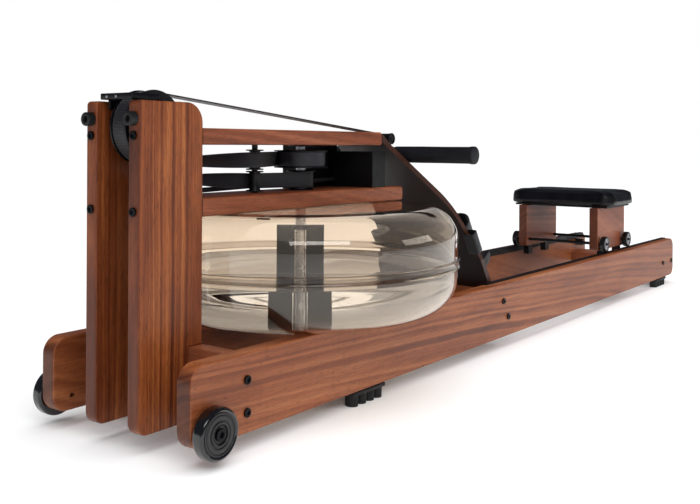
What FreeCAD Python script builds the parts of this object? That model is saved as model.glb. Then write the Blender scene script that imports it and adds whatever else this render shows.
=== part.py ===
import FreeCAD, Part
import math
import os
import Sketcher
from FreeCAD import Placement, Rotation, Vector

# Water rowing machine, at rest on the floor.
# Millimetres, +X from the flywheel tank's end to the seat's end, +Z up.
# Inside each sub-part X counts from the front ends of the rails. The last
# placement moves everything so that the origin is at the middle of the base.

SIZES = [
    # rails
    ("rail_length", 2100, "front end to rear end"),
    ("rail_height", 114, "depth of a rail"),
    ("rail_lift", 25, "floor to the rails' lower edge"),
    ("rail_thick", 27, "board thickness"),
    ("rail_outer", 159, "centre plane to a rail's outer face"),
    ("rail_corner", 26, "rounding of the rails' corners"),
    ("board_edge", 3, "rounding of the boards' long edges"),
    # posts
    ("post_width", 122, "front to rear"),
    ("post_thick", 23, "board thickness"),
    ("post_pitch", 91, "between the posts' middles"),
    ("post_top", 492, "height above the floor"),
    ("post_base", 26, "height of the lower end"),
    ("post_shoulder", 30, "rounding at the top rear"),
    ("post_toe", 18, "rounding at the bottom"),
    # decks
    ("deck_end", 595, "rear end of the upper deck"),
    ("upper_deck_z", 430, "underside of the upper deck"),
    ("upper_deck_thick", 25, "thickness"),
    ("lower_deck_end", 668, "rear end of the lower deck"),
    ("lower_deck_thick", 27, "thickness"),
    # tank
    ("tank_x", 420, "tank and paddle axis"),
    ("tank_radius", 280, "outside of the shells"),
    ("tank_height", 184, "rails to the tank's flat top"),
    ("tank_wall", 4, "shell thickness"),
    ("tank_bottom_round", 65, "rounding at the bottom"),
    ("tank_top_round", 56, "rounding at the top"),
    ("seam_z", 219, "top of the lower shell"),
    ("seam_gap", 16, "height of the seal ring"),
    ("ring_out", 4, "how far the seal ring stands out"),
    ("water_level", 214, "height of the water"),
    # paddle and drive
    ("shaft_radius", 9, "paddle shaft"),
    ("blade_reach", 42, "axis to a blade's edge"),
    ("blade_thick", 6, "blade thickness"),
    ("blade_turn", 126, "angle of the blades at rest"),
    ("collar_radius", 15, "collars that hold the blades on the shaft"),
    ("collar_height", 12, "collars that hold the blades on the shaft"),
    ("drive_reel_radius", 42, "strap seat of the drive reel"),
    ("recoil_reel_radius", 20, "strap seat of the recoil reel"),
    ("strap_width", 26, "webbing"),
    ("strap_thick", 2, "webbing"),
    ("guard_thick", 9, "keeper's depth above the posts"),
    ("guide_x", 298, "guide rollers"),
    ("guide_radius", 9, "strap seat of the guide rollers"),
    ("recoil_pulley_radius", 9, "strap seat of the recoil pulley"),
    ("bungee_radius", 4, "elastic recoil cord"),
    ("pulley_x", 64, "front pulley axle"),
    ("pulley_z", 455, "front pulley axle"),
    ("pulley_radius", 51, "strap seat of the front pulley"),
    ("pulley_width", 34, "over the flanges"),
    ("flange_out", 2, "flange above the strap"),
    # handle
    ("rest_x", 629, "strap roller"),
    ("rest_z", 443, "strap roller"),
    ("rest_radius", 11, "strap roller"),
    ("handle_x", 694, "handle at rest"),
    ("handle_z", 412, "handle at rest"),
    ("handle_length", 410, "over the end caps"),
    ("grip_radius", 16, "foam grip"),
    ("bar_radius", 12, "inside the grips"),
    # footboard
    ("foot_low_x", 950, "lower end of the footboard's upper face"),
    ("foot_low_z", 80, "lower end of the footboard's upper face"),
    ("board_thick", 13, "footboard thickness"),
    ("board_top_half", 57, "half width at the top"),
    ("board_gap", 6, "between the footboard's lower part and a rail"),
    ("heel_along", 64, "front of a heel cup, up the footboard's slope"),
    ("heel_wall", 4, "heel cup's wall and sole"),
    ("heel_rise", 48, "height of a heel cup"),
    ("foot_strap_thick", 2.5, "webbing over a foot"),
    ("foot_pitch", 66, "centre plane to the middle of a foot"),
    ("heel_width", 92, "heel cup"),
    ("foot_strap_low", 156, "lower edge of a foot strap, up the footboard's slope"),
    ("foot_strap_width", 50, "foot strap"),
    ("foot_strap_rise", 58, "room for a foot under the strap"),
    ("foot_strap_half", 34, "half the span of the strap's arch"),
    # seat
    ("seat_x", 1661, "middle of the seat at rest"),
    ("seat_length", 204, "cushion"),
    ("seat_width", 312, "cushion"),
    ("seat_thick", 40, "cushion"),
    ("seat_base_z", 260, "underside of the seat plate"),
    ("plate_thick", 5, "seat plate"),
    ("leg_length", 210, "seat leg"),
    ("leg_thick", 24, "seat leg"),
    ("leg_gap", 15, "between a seat leg and the rail's inner face, seen from above"),
    ("leg_base_z", 144, "underside of a seat leg"),
    ("seat_wheel_radius", 21, "seat wheel"),
    ("seat_wheel_width", 15, "seat wheel"),
    ("seat_wheel_base", 174, "between the front and rear wheels"),
    ("track_start", 860, "front end of the tracks"),
    ("track_thick", 2, "track strip"),
    ("track_width", 11, "track's flat"),
    ("track_lip", 14, "track's lip down the rail's inner face"),
    ("travel_front", 550, "seat travel towards the footboard"),
    ("travel_rear", 280, "seat travel towards the rear"),
    ("guide_pitch", 116, "between the seat's guide blocks along a rail"),
    ("guide_length", 26, "guide block"),
    ("guide_drop", 22, "guide block below the rail's top"),
    ("anchor_x", 568, "front face of the cord's anchor block"),
    ("anchor_length", 43, "anchor block"),
    ("cover_start", 434, "front end of the drive cover"),
    ("cover_thick", 3, "drive cover"),
    # transport wheels, feet, fasteners
    ("roller_radius", 36, "transport wheel"),
    ("roller_width", 20, "transport wheel"),
    ("roller_x", 34, "transport wheel axle"),
    ("roller_z", 47, "transport wheel axle"),
    ("foot_length", 92, "foot"),
    ("foot_sole", 5, "sole that a foot's studs stand on"),
    ("front_foot_x", 366, "front foot, front end"),
    ("rear_foot_x", 1936, "rear foot, front end"),
    ("cradle_x", 333, "front edge of the board under the tank"),
    ("cradle_length", 120, "board under the tank, along the rails"),
    ("rear_board_length", 110, "rear spacer, along the rails"),
    ("rear_board_inset", 6, "rear spacer to the rails' rear end"),
    ("foot_board_length", 80, "slanted spacer, up the slope"),
    ("low_bolt_rise", 45, "rail's lower edge to the rear bolts"),
    ("seat_corner", 36, "cushion's corners in plan"),
    ("plate_margin_x", 15, "cushion's edge to the plate's, front and rear"),
    ("plate_margin_y", 20, "cushion's edge to the plate's, at the sides"),
    ("spindle_radius", 5, "front pulley's axle and the guide rollers' spindle"),
    ("recoil_axle_radius", 4, "recoil pulley's axle"),
    ("seat_axle_radius", 4, "seat wheels' axles"),
    ("bearing_flange", 22, "flange of a shaft bearing"),
    ("bearing_wall", 6, "wall of a shaft bearing"),
    ("reel_flange", 6, "reel flange above the strap seat"),
    ("plug_radius", 16, "filler hole in the tank's top"),
    ("plug_along", 70, "filler hole behind the tank's axis"),
    ("plug_y", 150, "filler hole from the centre plane"),
    ("guard_arm_x", 12, "front end of the keeper's arms"),
    ("guard_arm_length", 46, "keeper's arms"),
    ("guard_bar_x", 6, "front face of the keeper's cross bar"),
    ("guard_bar_length", 8, "keeper's cross bar, along the rails"),
    ("guard_rise", 11, "top of the keeper above the posts"),
    ("bumper_length", 12, "post bumper"),
    ("bumper_radius", 10, "post bumper"),
    ("bolt_radius", 4, "frame bolt"),
    ("bolt_head_radius", 6.5, "frame bolt"),
    ("running_gap", 0.05, "radial clearance of a bearing"),
    ("side_gap", 0.5, "end clearance of a turning piece"),
]

# Sizes that follow from the driving ones.
DERIVED = [
    ("rail_top", "=rail_lift + rail_height"),
    ("rail_inner", "=rail_outer - rail_thick"),
    ("post_half", "=(post_pitch + post_thick) / 2"),
    ("post_inner", "=(post_pitch - post_thick) / 2"),
    ("tank_top", "=rail_top + tank_height"),
    ("upper_deck_top", "=upper_deck_z + upper_deck_thick"),
    ("lower_deck_z", "=tank_top + 0.3"),
    ("lower_deck_top", "=lower_deck_z + lower_deck_thick"),
    ("track_top", "=rail_top + track_thick"),
    ("spacer_half", "=rail_inner"),
    ("board_low_half", "=rail_inner - board_gap"),
    ("leg_outer", "=rail_inner - leg_gap"),
    ("ring_radius", "=tank_radius + ring_out"),
    ("seam_top", "=seam_z + seam_gap"),
    ("bay_height", "=upper_deck_z - lower_deck_top"),
    ("drive_z", "=lower_deck_top + 0.69 * bay_height"),
    ("recoil_z", "=lower_deck_top + 0.24 * bay_height"),
    ("pulley_rim", "=pulley_radius + strap_thick"),
    ("seat_wheel_z", "=track_top + 0.3 + seat_wheel_radius"),
    ("origin_x", "=(rail_length - bumper_length) / 2"),
]

doc = FreeCAD.newDocument("rowing_machine")
dim = doc.addObject("Spreadsheet::Sheet", "dim")
parts = []


def fill_sheet():
    """Write the driving sizes and the sizes that follow from them."""
    row = 1
    for alias, value, note in SIZES:
        dim.set("A%d" % row, alias)
        dim.set("B%d" % row, str(value))
        dim.set("C%d" % row, note)
        dim.setAlias("B%d" % row, alias)
        row += 1
    for alias, formula in DERIVED:
        dim.set("A%d" % row, alias)
        dim.set("B%d" % row, formula)
        dim.setAlias("B%d" % row, alias)
        row += 1
    doc.recompute()


def num(expression):
    """The present value of an expression in the sheet's sizes."""
    return float(dim.evalExpression(str(expression)))


def sheet(expression):
    """The same expression as another object sees it."""
    text = str(expression)
    for alias in sorted(ALIASES, key=len, reverse=True):
        text = text.replace(alias, "\x01%d\x02" % ALIASES.index(alias))
    for index, alias in enumerate(ALIASES):
        text = text.replace("\x01%d\x02" % index, "dim." + alias)
    return text


ALIASES = [entry[0] for entry in SIZES + DERIVED]


def bind(thing, prop, expression):
    thing.setExpression(prop, sheet(expression))


def place(thing, x="0", y="0", z="0", turn=None):
    """Set a primitive's placement in rail coordinates."""
    if turn:
        thing.Placement = Placement(Vector(0, 0, 0), Rotation(Vector(*turn[0]), turn[1]))
    for axis, value in (("x", x), ("y", y), ("z", z)):
        bind(thing, "Placement.Base." + axis, value)


def keep(thing, label, x="0", y="0", z="0", turn=None):
    """Name a finished sub-part and move it from rail coordinates to the origin."""
    thing.Label = label
    place(thing, "(%s) - origin_x" % x, y, z, turn)
    parts.append(thing)
    return thing


def box(name, corner, size):
    piece = doc.addObject("Part::Box", name)
    for prop, value in zip(("Length", "Width", "Height"), size):
        bind(piece, prop, value)
    place(piece, *corner)
    return piece


def rod(name, base, radius, length, turn=None):
    """A cylinder from base along +Z, or along the turned axis."""
    piece = doc.addObject("Part::Cylinder", name)
    bind(piece, "Radius", radius)
    bind(piece, "Height", length)
    place(piece, *base, turn=turn)
    return piece


ALONG_X = ((0, 1, 0), 90)
ALONG_Y = ((1, 0, 0), -90)


def fuse(name, pieces):
    joined = doc.addObject("Part::MultiFuse", name)
    joined.Shapes = pieces
    return joined


def group(name, pieces):
    """Separate solids of one node."""
    bundle = doc.addObject("Part::Compound", name)
    bundle.Links = pieces
    return bundle


def cut(name, base, tools):
    remains = doc.addObject("Part::Cut", name)
    remains.Base = base
    remains.Tool = tools[0] if len(tools) == 1 else fuse(name + "_tools", tools)
    return remains


def new_body(name):
    return doc.addObject("PartDesign::Body", name)


def new_sketch(body, name, plane="XZ_Plane"):
    sketch = body.newObject("Sketcher::SketchObject", name)
    for feature in body.Origin.OriginFeatures:
        if feature.Role == plane:
            sketch.AttachmentSupport = (feature, [""])
    sketch.MapMode = "FlatFace"
    return sketch


def pin_point(sketch, geo, pos, tag, u, v):
    """Hold a sketch point at two sheet expressions."""
    for kind, axis, expression in (("DistanceX", "u", u), ("DistanceY", "v", v)):
        value = num(expression)
        index = sketch.addConstraint(Sketcher.Constraint(kind, -1, 1, geo, pos, value))
        sketch.renameConstraint(index, tag + axis)
        bind(sketch, "Constraints." + tag + axis, expression)


def polygon(sketch, points, tag="p"):
    """A closed outline through points given as sheet expressions."""
    corners = [Vector(num(u), num(v), 0) for u, v in points]
    first = sketch.GeometryCount
    for index, corner in enumerate(corners):
        following = corners[(index + 1) % len(corners)]
        sketch.addGeometry(Part.LineSegment(corner, following), False)
    count = len(corners)
    for index in range(count):
        after = first + (index + 1) % count
        sketch.addConstraint(Sketcher.Constraint("Coincident", first + index, 2, after, 1))
    for index, (u, v) in enumerate(points):
        pin_point(sketch, first + index, 1, "%s%d" % (tag, index), u, v)


def circle(sketch, u, v, radius, tag):
    geo = sketch.addGeometry(Part.Circle(Vector(num(u), num(v), 0), Vector(0, 0, 1), num(radius)), False)
    index = sketch.addConstraint(Sketcher.Constraint("Radius", geo, num(radius)))
    sketch.renameConstraint(index, tag + "r")
    bind(sketch, "Constraints." + tag + "r", radius)
    pin_point(sketch, geo, 3, tag, u, v)


def pad(body, sketch, thickness, name):
    """A pad to both sides of the sketch."""
    feature = body.newObject("PartDesign::Pad", name)
    feature.Profile = sketch
    feature.Midplane = True
    bind(feature, "Length", thickness)
    doc.recompute()
    return feature


def round_corners(body, name, spots, radius, plane="XZ_Plane"):
    """Fillet the edges that run square to the sketch through the given spots."""
    base = body.Tip
    names = []
    for index, edge in enumerate(base.Shape.Edges):
        if len(edge.Vertexes) != 2:
            continue
        ends = [vertex.Point for vertex in edge.Vertexes]
        flat = [(q.x, q.z) if plane == "XZ_Plane" else (q.x, q.y) for q in ends]
        if math.dist(flat[0], flat[1]) > 1e-6:
            continue
        for u, v in spots:
            if math.dist(flat[0], (num(u), num(v))) < 0.01:
                names.append("Edge%d" % (index + 1))
    feature = body.newObject("PartDesign::Fillet", name)
    feature.Base = (base, names)
    bind(feature, "Radius", radius)
    doc.recompute()
    return feature


def round_rims(body, name, spots, radius):
    """Fillet the circular rims of a turned piece at (radius, height) spots."""
    base = body.Tip
    names = []
    for index, edge in enumerate(base.Shape.Edges):
        if not isinstance(edge.Curve, Part.Circle):
            continue
        for r, z in spots:
            if abs(edge.Curve.Radius - num(r)) < 0.01 and abs(edge.Curve.Center.z - num(z)) < 0.01:
                names.append("Edge%d" % (index + 1))
    feature = body.newObject("PartDesign::Fillet", name)
    feature.Base = (base, names)
    bind(feature, "Radius", radius)
    doc.recompute()
    return feature


def ease_edges(body, name, radius):
    """Round over the long edges on both faces of a board."""
    base = body.Tip
    names = []
    box_y = base.Shape.BoundBox
    for index, edge in enumerate(base.Shape.Edges):
        ys = [vertex.Point.y for vertex in edge.Vertexes]
        on_face = max(ys) - min(ys) < 1e-6
        at_side = min(abs(ys[0] - box_y.YMin), abs(ys[0] - box_y.YMax)) < 1e-6
        if on_face and at_side:
            names.append("Edge%d" % (index + 1))
    feature = body.newObject("PartDesign::Fillet", name)
    feature.Base = (base, names)
    bind(feature, "Radius", radius)
    doc.recompute()
    return feature


def pocket_through(body, sketch, name):
    """Cut a sketch through the whole body, both ways."""
    before = body.Tip.Shape.Volume
    feature = body.newObject("PartDesign::Pocket", name)
    feature.Profile = sketch
    feature.Type = "ThroughAll"
    feature.Midplane = True
    doc.recompute()
    if feature.Shape.Volume >= before:
        raise RuntimeError(name + " cut nothing")
    return feature


def turned(name, profile):
    """A PartDesign body revolved about its own Z axis from (radius, height) points."""
    body = new_body(name)
    sketch = new_sketch(body, name + "_profile")
    polygon(sketch, profile)
    feature = body.newObject("PartDesign::Revolution", name + "_turn")
    feature.Profile = sketch
    feature.ReferenceAxis = (sketch, ["V_Axis"])
    feature.Angle = 360
    doc.recompute()
    return body


# ---------------------------------------------------------------- frame boards

SPACER_FRONT = "post_width - rail_thick"
REAR_BOLTS = ("rail_length - 102", "rail_length - 20")
FOOT_SLOPE = math.radians(57.5)
FOOT_COS = "%.6f" % math.cos(FOOT_SLOPE)
FOOT_SIN = "%.6f" % math.sin(FOOT_SLOPE)
SPACER_ALONG = "21.5"


def under_board(along, lift):
    """Sheet expressions for a point of the footboard's lower run, in X and Z."""
    x = "foot_low_x - (%s) * %s + (%s) * %s" % (along, FOOT_COS, lift, FOOT_SIN)
    z = "foot_low_z + (%s) * %s + (%s) * %s" % (along, FOOT_SIN, lift, FOOT_COS)
    return x, z


def rail_bolt_spots():
    front = "post_width - rail_thick / 2"
    spots = [(front, "rail_lift + 30"), (front, "rail_lift + 76")]
    middle = "0 - board_thick - rail_thick / 2"
    spots += [under_board(SPACER_ALONG + " + 21", middle), under_board(SPACER_ALONG + " - 21", middle)]
    spots += [(x, "rail_lift + low_bolt_rise") for x in REAR_BOLTS]
    return spots


def make_rail(side, sign):
    body = new_body(side + "_rail")
    sketch = new_sketch(body, side + "_rail_outline")
    corners = [("0", "rail_lift"), ("rail_length", "rail_lift"), ("rail_length", "rail_top"), ("0", "rail_top")]
    polygon(sketch, corners)
    pad(body, sketch, "rail_thick", side + "_rail_board")
    round_corners(body, side + "_rail_corners", corners, "rail_corner")
    ease_edges(body, side + "_rail_eased", "board_edge")
    holes = new_sketch(body, side + "_rail_holes")
    for index, (x, z) in enumerate(rail_bolt_spots()):
        circle(holes, x, z, "bolt_radius + 0.2", "b%d" % index)
    circle(holes, "roller_x", "roller_z", "bolt_radius + 0.2", "axle")
    pocket_through(body, holes, side + "_rail_bolt_holes")
    keep(body, side + "_rail", y="%d * (rail_outer - rail_thick / 2)" % sign)


def make_post(side, sign):
    body = new_body(side + "_front_post")
    sketch = new_sketch(body, side + "_post_outline")
    toe = [("0", "post_base"), (SPACER_FRONT, "post_base")]
    top = [("post_width", "post_top"), ("0", "post_top")]
    notch = [(SPACER_FRONT, "rail_top - 4"), ("post_width", "rail_top - 4")]
    polygon(sketch, toe + notch + top)
    pad(body, sketch, "post_thick", side + "_post_board")
    round_corners(body, side + "_post_toe", toe, "post_toe")
    round_corners(body, side + "_post_shoulder", top[:1], "post_shoulder")
    round_corners(body, side + "_post_brow", top[1:], "board_edge * 2")
    ease_edges(body, side + "_post_eased", "board_edge")
    holes = new_sketch(body, side + "_post_axle_hole")
    circle(holes, "pulley_x", "pulley_z", "spindle_radius", "axle")
    bore = body.newObject("PartDesign::Pocket", side + "_post_axle_bore")
    bore.Profile = holes
    bore.Reversed = sign > 0
    bind(bore, "Length", "post_thick")
    doc.recompute()
    drill = new_sketch(body, side + "_post_bolt_sketch", "YZ_Plane")
    circle(drill, "0", "upper_deck_z + upper_deck_thick / 2", "bolt_radius + 0.2", "upper")
    circle(drill, "0", "lower_deck_z + lower_deck_thick / 2", "bolt_radius + 0.2", "lower")
    pocket_through(body, drill, side + "_post_bolt_holes")
    keep(body, side + "_front_post", y="%d * post_pitch / 2" % sign)


def make_spacers():
    front = box("front_spacer_board", (SPACER_FRONT, "-spacer_half", "rail_lift + 6"),
                ("rail_thick", "2 * spacer_half", "rail_height - 10"))
    keep(front, "front_spacer", SPACER_FRONT, "-spacer_half", "rail_lift + 6")
    cradle = box("tank_cradle_board", ("0", "0", "0"), ("cradle_length", "2 * spacer_half", "rail_thick"))
    keep(cradle, "tank_cradle", "cradle_x", "-spacer_half", "rail_top - rail_thick - 0.2")
    rear = box("rear_spacer_board", ("0", "0", "0"), ("rear_board_length", "2 * spacer_half", "rail_thick"))
    keep(rear, "rear_spacer", "rail_length - rear_board_inset - rear_board_length", "-spacer_half",
         "rail_lift + low_bolt_rise - rail_thick / 2")
    slanted = box("foot_spacer_board", ("0", "0", "0"), ("foot_board_length", "2 * spacer_half", "rail_thick"))
    x, z = under_board(SPACER_ALONG + " + foot_board_length / 2", "0 - board_thick - rail_thick - 0.1")
    keep(slanted, "foot_spacer", x, "-spacer_half", z, turn=((0, 1, 0), math.degrees(FOOT_SLOPE)))


def make_deck(level, end, underside, thickness):
    """A deck board behind the posts, rounded at its rear end."""
    body = new_body(level + "_deck")
    sketch = new_sketch(body, level + "_deck_outline", "XZ_Plane")
    corners = [("post_width", underside), (end, underside),
               (end, underside + " + " + thickness), ("post_width", underside + " + " + thickness)]
    polygon(sketch, corners)
    pad(body, sketch, "2 * post_half", level + "_deck_board")
    round_corners(body, level + "_deck_nose", corners[1:3], "board_edge * 2")
    ease_edges(body, level + "_deck_eased", "board_edge")
    drill = new_sketch(body, level + "_deck_bolt_sketch", "YZ_Plane")
    for index, sign in enumerate((-1, 1)):
        circle(drill, "%d * post_pitch / 2" % sign, "%s + %s / 2" % (underside, thickness), "bolt_radius + 0.2",
               "d%d" % index)
    feature = body.newObject("PartDesign::Pocket", level + "_deck_bolt_holes")
    feature.Profile = drill
    feature.Reversed = True
    bind(feature, "Length", "post_width + 40")
    doc.recompute()
    bore = new_sketch(body, level + "_deck_shaft_sketch", "XY_Plane")
    circle(bore, "tank_x", "0", "shaft_radius + bearing_wall", "shaft")
    circle(bore, "guide_x", "0", "spindle_radius", "guide")
    pocket_through(body, bore, level + "_deck_shaft_hole")
    keep(body, level + "_deck")


# ---------------------------------------------------------------- footboard

def footboard_outline(lift):
    """The board's side line: a straight top run, a bend and a straight lower run.

    lift is how far the line lies above the board's upper face, square to it."""
    top = Vector(num("deck_end"), 0, num("upper_deck_top") - 3)
    low = Vector(num("foot_low_x"), 0, num("foot_low_z"))
    steep = Vector(math.cos(FOOT_SLOPE), 0, -math.sin(FOOT_SLOPE))
    shallow_angle = math.radians(34.3)
    shallow = Vector(math.cos(shallow_angle), 0, -math.sin(shallow_angle))
    bend = 240 + lift
    top_out = top + Vector(math.sin(shallow_angle), 0, math.cos(shallow_angle)) * lift
    low_out = low + Vector(math.sin(FOOT_SLOPE), 0, math.cos(FOOT_SLOPE)) * lift
    along = (low_out.z - top_out.z) - (low_out.x - top_out.x) * steep.z / steep.x
    reach = along / (shallow.z - shallow.x * steep.z / steep.x)
    knee = top_out + shallow * reach
    half_turn = (FOOT_SLOPE - shallow_angle) / 2
    tangent = bend * math.tan(half_turn)
    start = knee - shallow * tangent
    finish = knee + steep * tangent
    outward = Vector(math.sin(shallow_angle + half_turn), 0, math.cos(shallow_angle + half_turn))
    crown = knee - outward * (bend / math.cos(half_turn) - bend)
    return top_out, start, crown, finish, low_out


def make_footboard():
    upper = footboard_outline(0)
    under = footboard_outline(-num("board_thick"))
    wall_x = num("deck_end") + 0.2
    slope = math.tan(math.radians(34.3))
    upper_end = Vector(wall_x, 0, upper[0].z - (wall_x - upper[0].x) * slope)
    under_end = Vector(wall_x, 0, under[0].z - (wall_x - under[0].x) * slope)
    edges = [
        Part.LineSegment(upper_end, upper[1]).toShape(),
        Part.Arc(upper[1], upper[2], upper[3]).toShape(),
        Part.LineSegment(upper[3], upper[4]).toShape(),
        Part.LineSegment(upper[4], under[4]).toShape(),
        Part.LineSegment(under[4], under[3]).toShape(),
        Part.Arc(under[3], under[2], under[1]).toShape(),
        Part.LineSegment(under[1], under_end).toShape(),
        Part.LineSegment(under_end, upper_end).toShape(),
    ]
    half = num("board_low_half")
    profile = Part.Face(Part.Wire(edges))
    profile.translate(Vector(0, -half, 0))
    bent = profile.extrude(Vector(0, 2 * half, 0))
    narrow = num("board_top_half")
    flare_z = 190
    top_z = num("upper_deck_top") + 30
    outline = [(-narrow, top_z), (narrow, top_z), (narrow, num("upper_deck_z")), (half, flare_z), (half, 0),
               (-half, 0), (-half, flare_z), (-narrow, num("upper_deck_z"))]
    wire = Part.makePolygon([Vector(500, y, z) for y, z in outline + outline[:1]])
    plan = Part.Face(wire).extrude(Vector(600, 0, 0))
    board = bent.common(plan)
    piece = doc.addObject("Part::Feature", "footboard")
    piece.Shape = board.Solids[0]
    keep(piece, "footboard")


def board_frame(along, lift):
    """A placement on the board's lower run: local x up the slope and z out of the board."""
    low = footboard_outline(0)[4]
    up = Vector(-math.cos(FOOT_SLOPE), 0, math.sin(FOOT_SLOPE))
    out = Vector(math.sin(FOOT_SLOPE), 0, math.cos(FOOT_SLOPE))
    return Placement(low + up * along + out * lift, Rotation(up, Vector(0, -1, 0), out, "XZY"))


def make_heel_cup(side, sign):
    """A raised wall round the heel, and a separate tongue plate that slides under the foot strap."""
    half = num("heel_width") / 2
    thick = num("heel_wall")
    rise = num("heel_rise")
    reach = 16
    tongue_half = num("foot_strap_half") - 8
    tongue_length = 74
    sole = Part.makeBox(reach, 2 * half, thick, Vector(half, -half, 0))
    tongue = Part.makeBox(tongue_length, 2 * tongue_half, thick, Vector(half + reach, -tongue_half, 0))
    wall = Part.makeCylinder(half, rise, Vector(half, 0, 0))
    inside = Part.makeCylinder(half - thick, rise, Vector(half, 0, thick))
    mouth = Part.makeBox(2 * half, 2 * half, rise + 2, Vector(half + 6, -half, -1))
    cup = wall.cut(inside).cut(mouth).fuse(sole).removeSplitter()
    piece = doc.addObject("Part::Feature", side + "_heel_cup")
    solids = []
    for solid in (cup, tongue):
        solid.Placement = board_frame(num("heel_along"), 0.4)
        solids.append(solid)
    piece.Shape = Part.makeCompound(solids)
    keep(piece, side + "_heel_cup", y="%d * foot_pitch" % sign)


def foot_strap(sign):
    """Webbing that arches over a foot and wraps the board's outer edge, as one piece.

    Its own x runs up the slope, y towards the right side and z off the board."""
    width = num("foot_strap_width")
    thick = num("foot_strap_thick")
    half = num("foot_strap_half")
    rise = num("foot_strap_rise")
    edge = num("board_low_half") - num("foot_pitch") - 2
    depth = num("board_thick") + 2 * 0.4 + 2 * thick
    outer = Part.Arc(Vector(0, -half, 0), Vector(0, 0, rise), Vector(0, half, 0)).toShape()
    inner = Part.Arc(Vector(0, thick - half, 0), Vector(0, 0, rise - thick), Vector(0, half - thick, 0)).toShape()
    feet = [Part.LineSegment(Vector(0, end * half, 0), Vector(0, end * (half - thick), 0)).toShape()
            for end in (-1, 1)]
    arch = Part.Face(Part.Wire(Part.__sortEdges__([outer, inner] + feet))).extrude(Vector(width, 0, 0))
    flats = [Part.makeBox(width, 14, thick, Vector(0, -half - 14 + thick, 0)),
             Part.makeBox(width, edge - half + 2 * thick, thick, Vector(0, half - thick, 0)),
             Part.makeBox(width, thick, depth, Vector(0, edge, thick - depth)),
             Part.makeBox(width, 28, thick, Vector(0, edge + thick - 28, thick - depth))]
    strap = arch.multiFuse(flats).removeSplitter()
    if sign > 0:
        strap = strap.mirror(Vector(0, 0, 0), Vector(0, 1, 0))
    strap.Placement = board_frame(num("foot_strap_low"), 0.4).multiply(strap.Placement)
    return strap


def make_foot_straps():
    straps = []
    for sign in (-1, 1):
        strap = foot_strap(sign)
        strap.translate(Vector(0, sign * num("foot_pitch"), 0))
        straps.append(strap)
    piece = doc.addObject("Part::Feature", "foot_straps")
    piece.Shape = Part.makeCompound(straps)
    keep(piece, "foot_straps")


# ---------------------------------------------------------------- tank

def make_lower_shell():
    wall_r = "tank_radius - tank_wall"
    base = "rail_top"
    body = turned("tank_lower_shell", [("0", base), ("tank_radius", base), ("tank_radius", "seam_z"),
                                       (wall_r, "seam_z"), (wall_r, base + " + tank_wall"),
                                       ("0", base + " + tank_wall")])
    round_rims(body, "lower_shell_outer", [("tank_radius", base)], "tank_bottom_round")
    round_rims(body, "lower_shell_inner", [(wall_r, base + " + tank_wall")], "tank_bottom_round - tank_wall")
    keep(body, "tank_lower_shell", "tank_x")




def make_upper_shell():
    wall_r = "tank_radius - tank_wall"
    bore = "shaft_radius + running_gap"
    under = "tank_top - tank_wall"
    body = turned("tank_upper_shell", [(bore, "tank_top"), ("tank_radius", "tank_top"),
                                       ("tank_radius", "seam_top"), (wall_r, "seam_top"),
                                       (wall_r, under), (bore, under)])
    round_rims(body, "upper_shell_outer", [("tank_radius", "tank_top")], "tank_top_round")
    round_rims(body, "upper_shell_inner", [(wall_r, under)], "tank_top_round - tank_wall")
    filler = new_sketch(body, "filler_sketch", "XY_Plane")
    circle(filler, "plug_along", "plug_y", "plug_radius", "plug")
    filler_hole = body.newObject("PartDesign::Pocket", "filler_hole")
    filler_hole.Profile = filler
    filler_hole.Type = "ThroughAll"
    filler_hole.Midplane = True
    doc.recompute()
    keep(body, "tank_upper_shell", "tank_x")


def make_seal_ring():
    """The clear band that joins the shells: a collar outside and a tongue between them."""
    tongue = "tank_radius - tank_wall"
    ring = turned("tank_seal_ring", [(tongue, "seam_z"), ("ring_radius", "seam_z"),
                                     ("ring_radius", "seam_top"), (tongue, "seam_top")])
    keep(ring, "tank_seal_ring", "tank_x")


def make_water():
    """The water around the space that the paddle sweeps."""
    inside = "tank_radius - tank_wall - 0.3"
    base = "rail_top + tank_wall + 0.3"
    swept = "blade_reach + 3"
    body = turned("water", [(swept, base), (inside, base), (inside, "water_level"), (swept, "water_level")])
    round_rims(body, "water_round", [(inside, base)], "tank_bottom_round - tank_wall")
    keep(body, "water", "tank_x")


def make_plug():
    body = turned("tank_plug", [("0", "-8"), ("13", "-8"), ("15.7", "0.3"), ("19", "0.3"), ("19", "5"),
                                ("9", "6"), ("9", "13"), ("0", "13")])
    keep(body, "tank_plug", "tank_x + plug_along", "plug_y", "tank_top")


def make_paddle():
    """Two flat blades held beside the shaft by a collar at each end."""
    low = "rail_top + tank_wall + 8"
    tall = "(tank_height - 2 * tank_wall - 30)"
    gap = "(shaft_radius + 1)"
    pieces = []
    for index, turn in enumerate((num("blade_turn"), num("blade_turn") + 180)):
        cosine = math.cos(math.radians(turn))
        sine = math.sin(math.radians(turn))
        corner_x = "blade_thick / 2 * %.6f + %s * %.6f" % (sine, gap, cosine)
        corner_y = "0 - blade_thick / 2 * %.6f + %s * %.6f" % (cosine, gap, sine)
        blade = box("blade_%d" % index, ("0", "0", "0"), ("blade_reach - " + gap, "blade_thick", tall))
        place(blade, corner_x, corner_y, low, ((0, 0, 1), turn))
        pieces.append(blade)
    for index, base in enumerate((low, low + " + " + tall + " - collar_height")):
        pieces.append(rod("blade_collar_%d" % index, ("0", "0", base), "collar_radius", "collar_height"))
    crossed = fuse("held_blades", pieces)
    shaft_hole = rod("collar_hole", ("0", "0", low + " - 5"), "shaft_radius", tall + " + 20")
    paddle = cut("paddle_cut", crossed, [shaft_hole])
    keep(paddle, "paddle", "tank_x")


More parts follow.
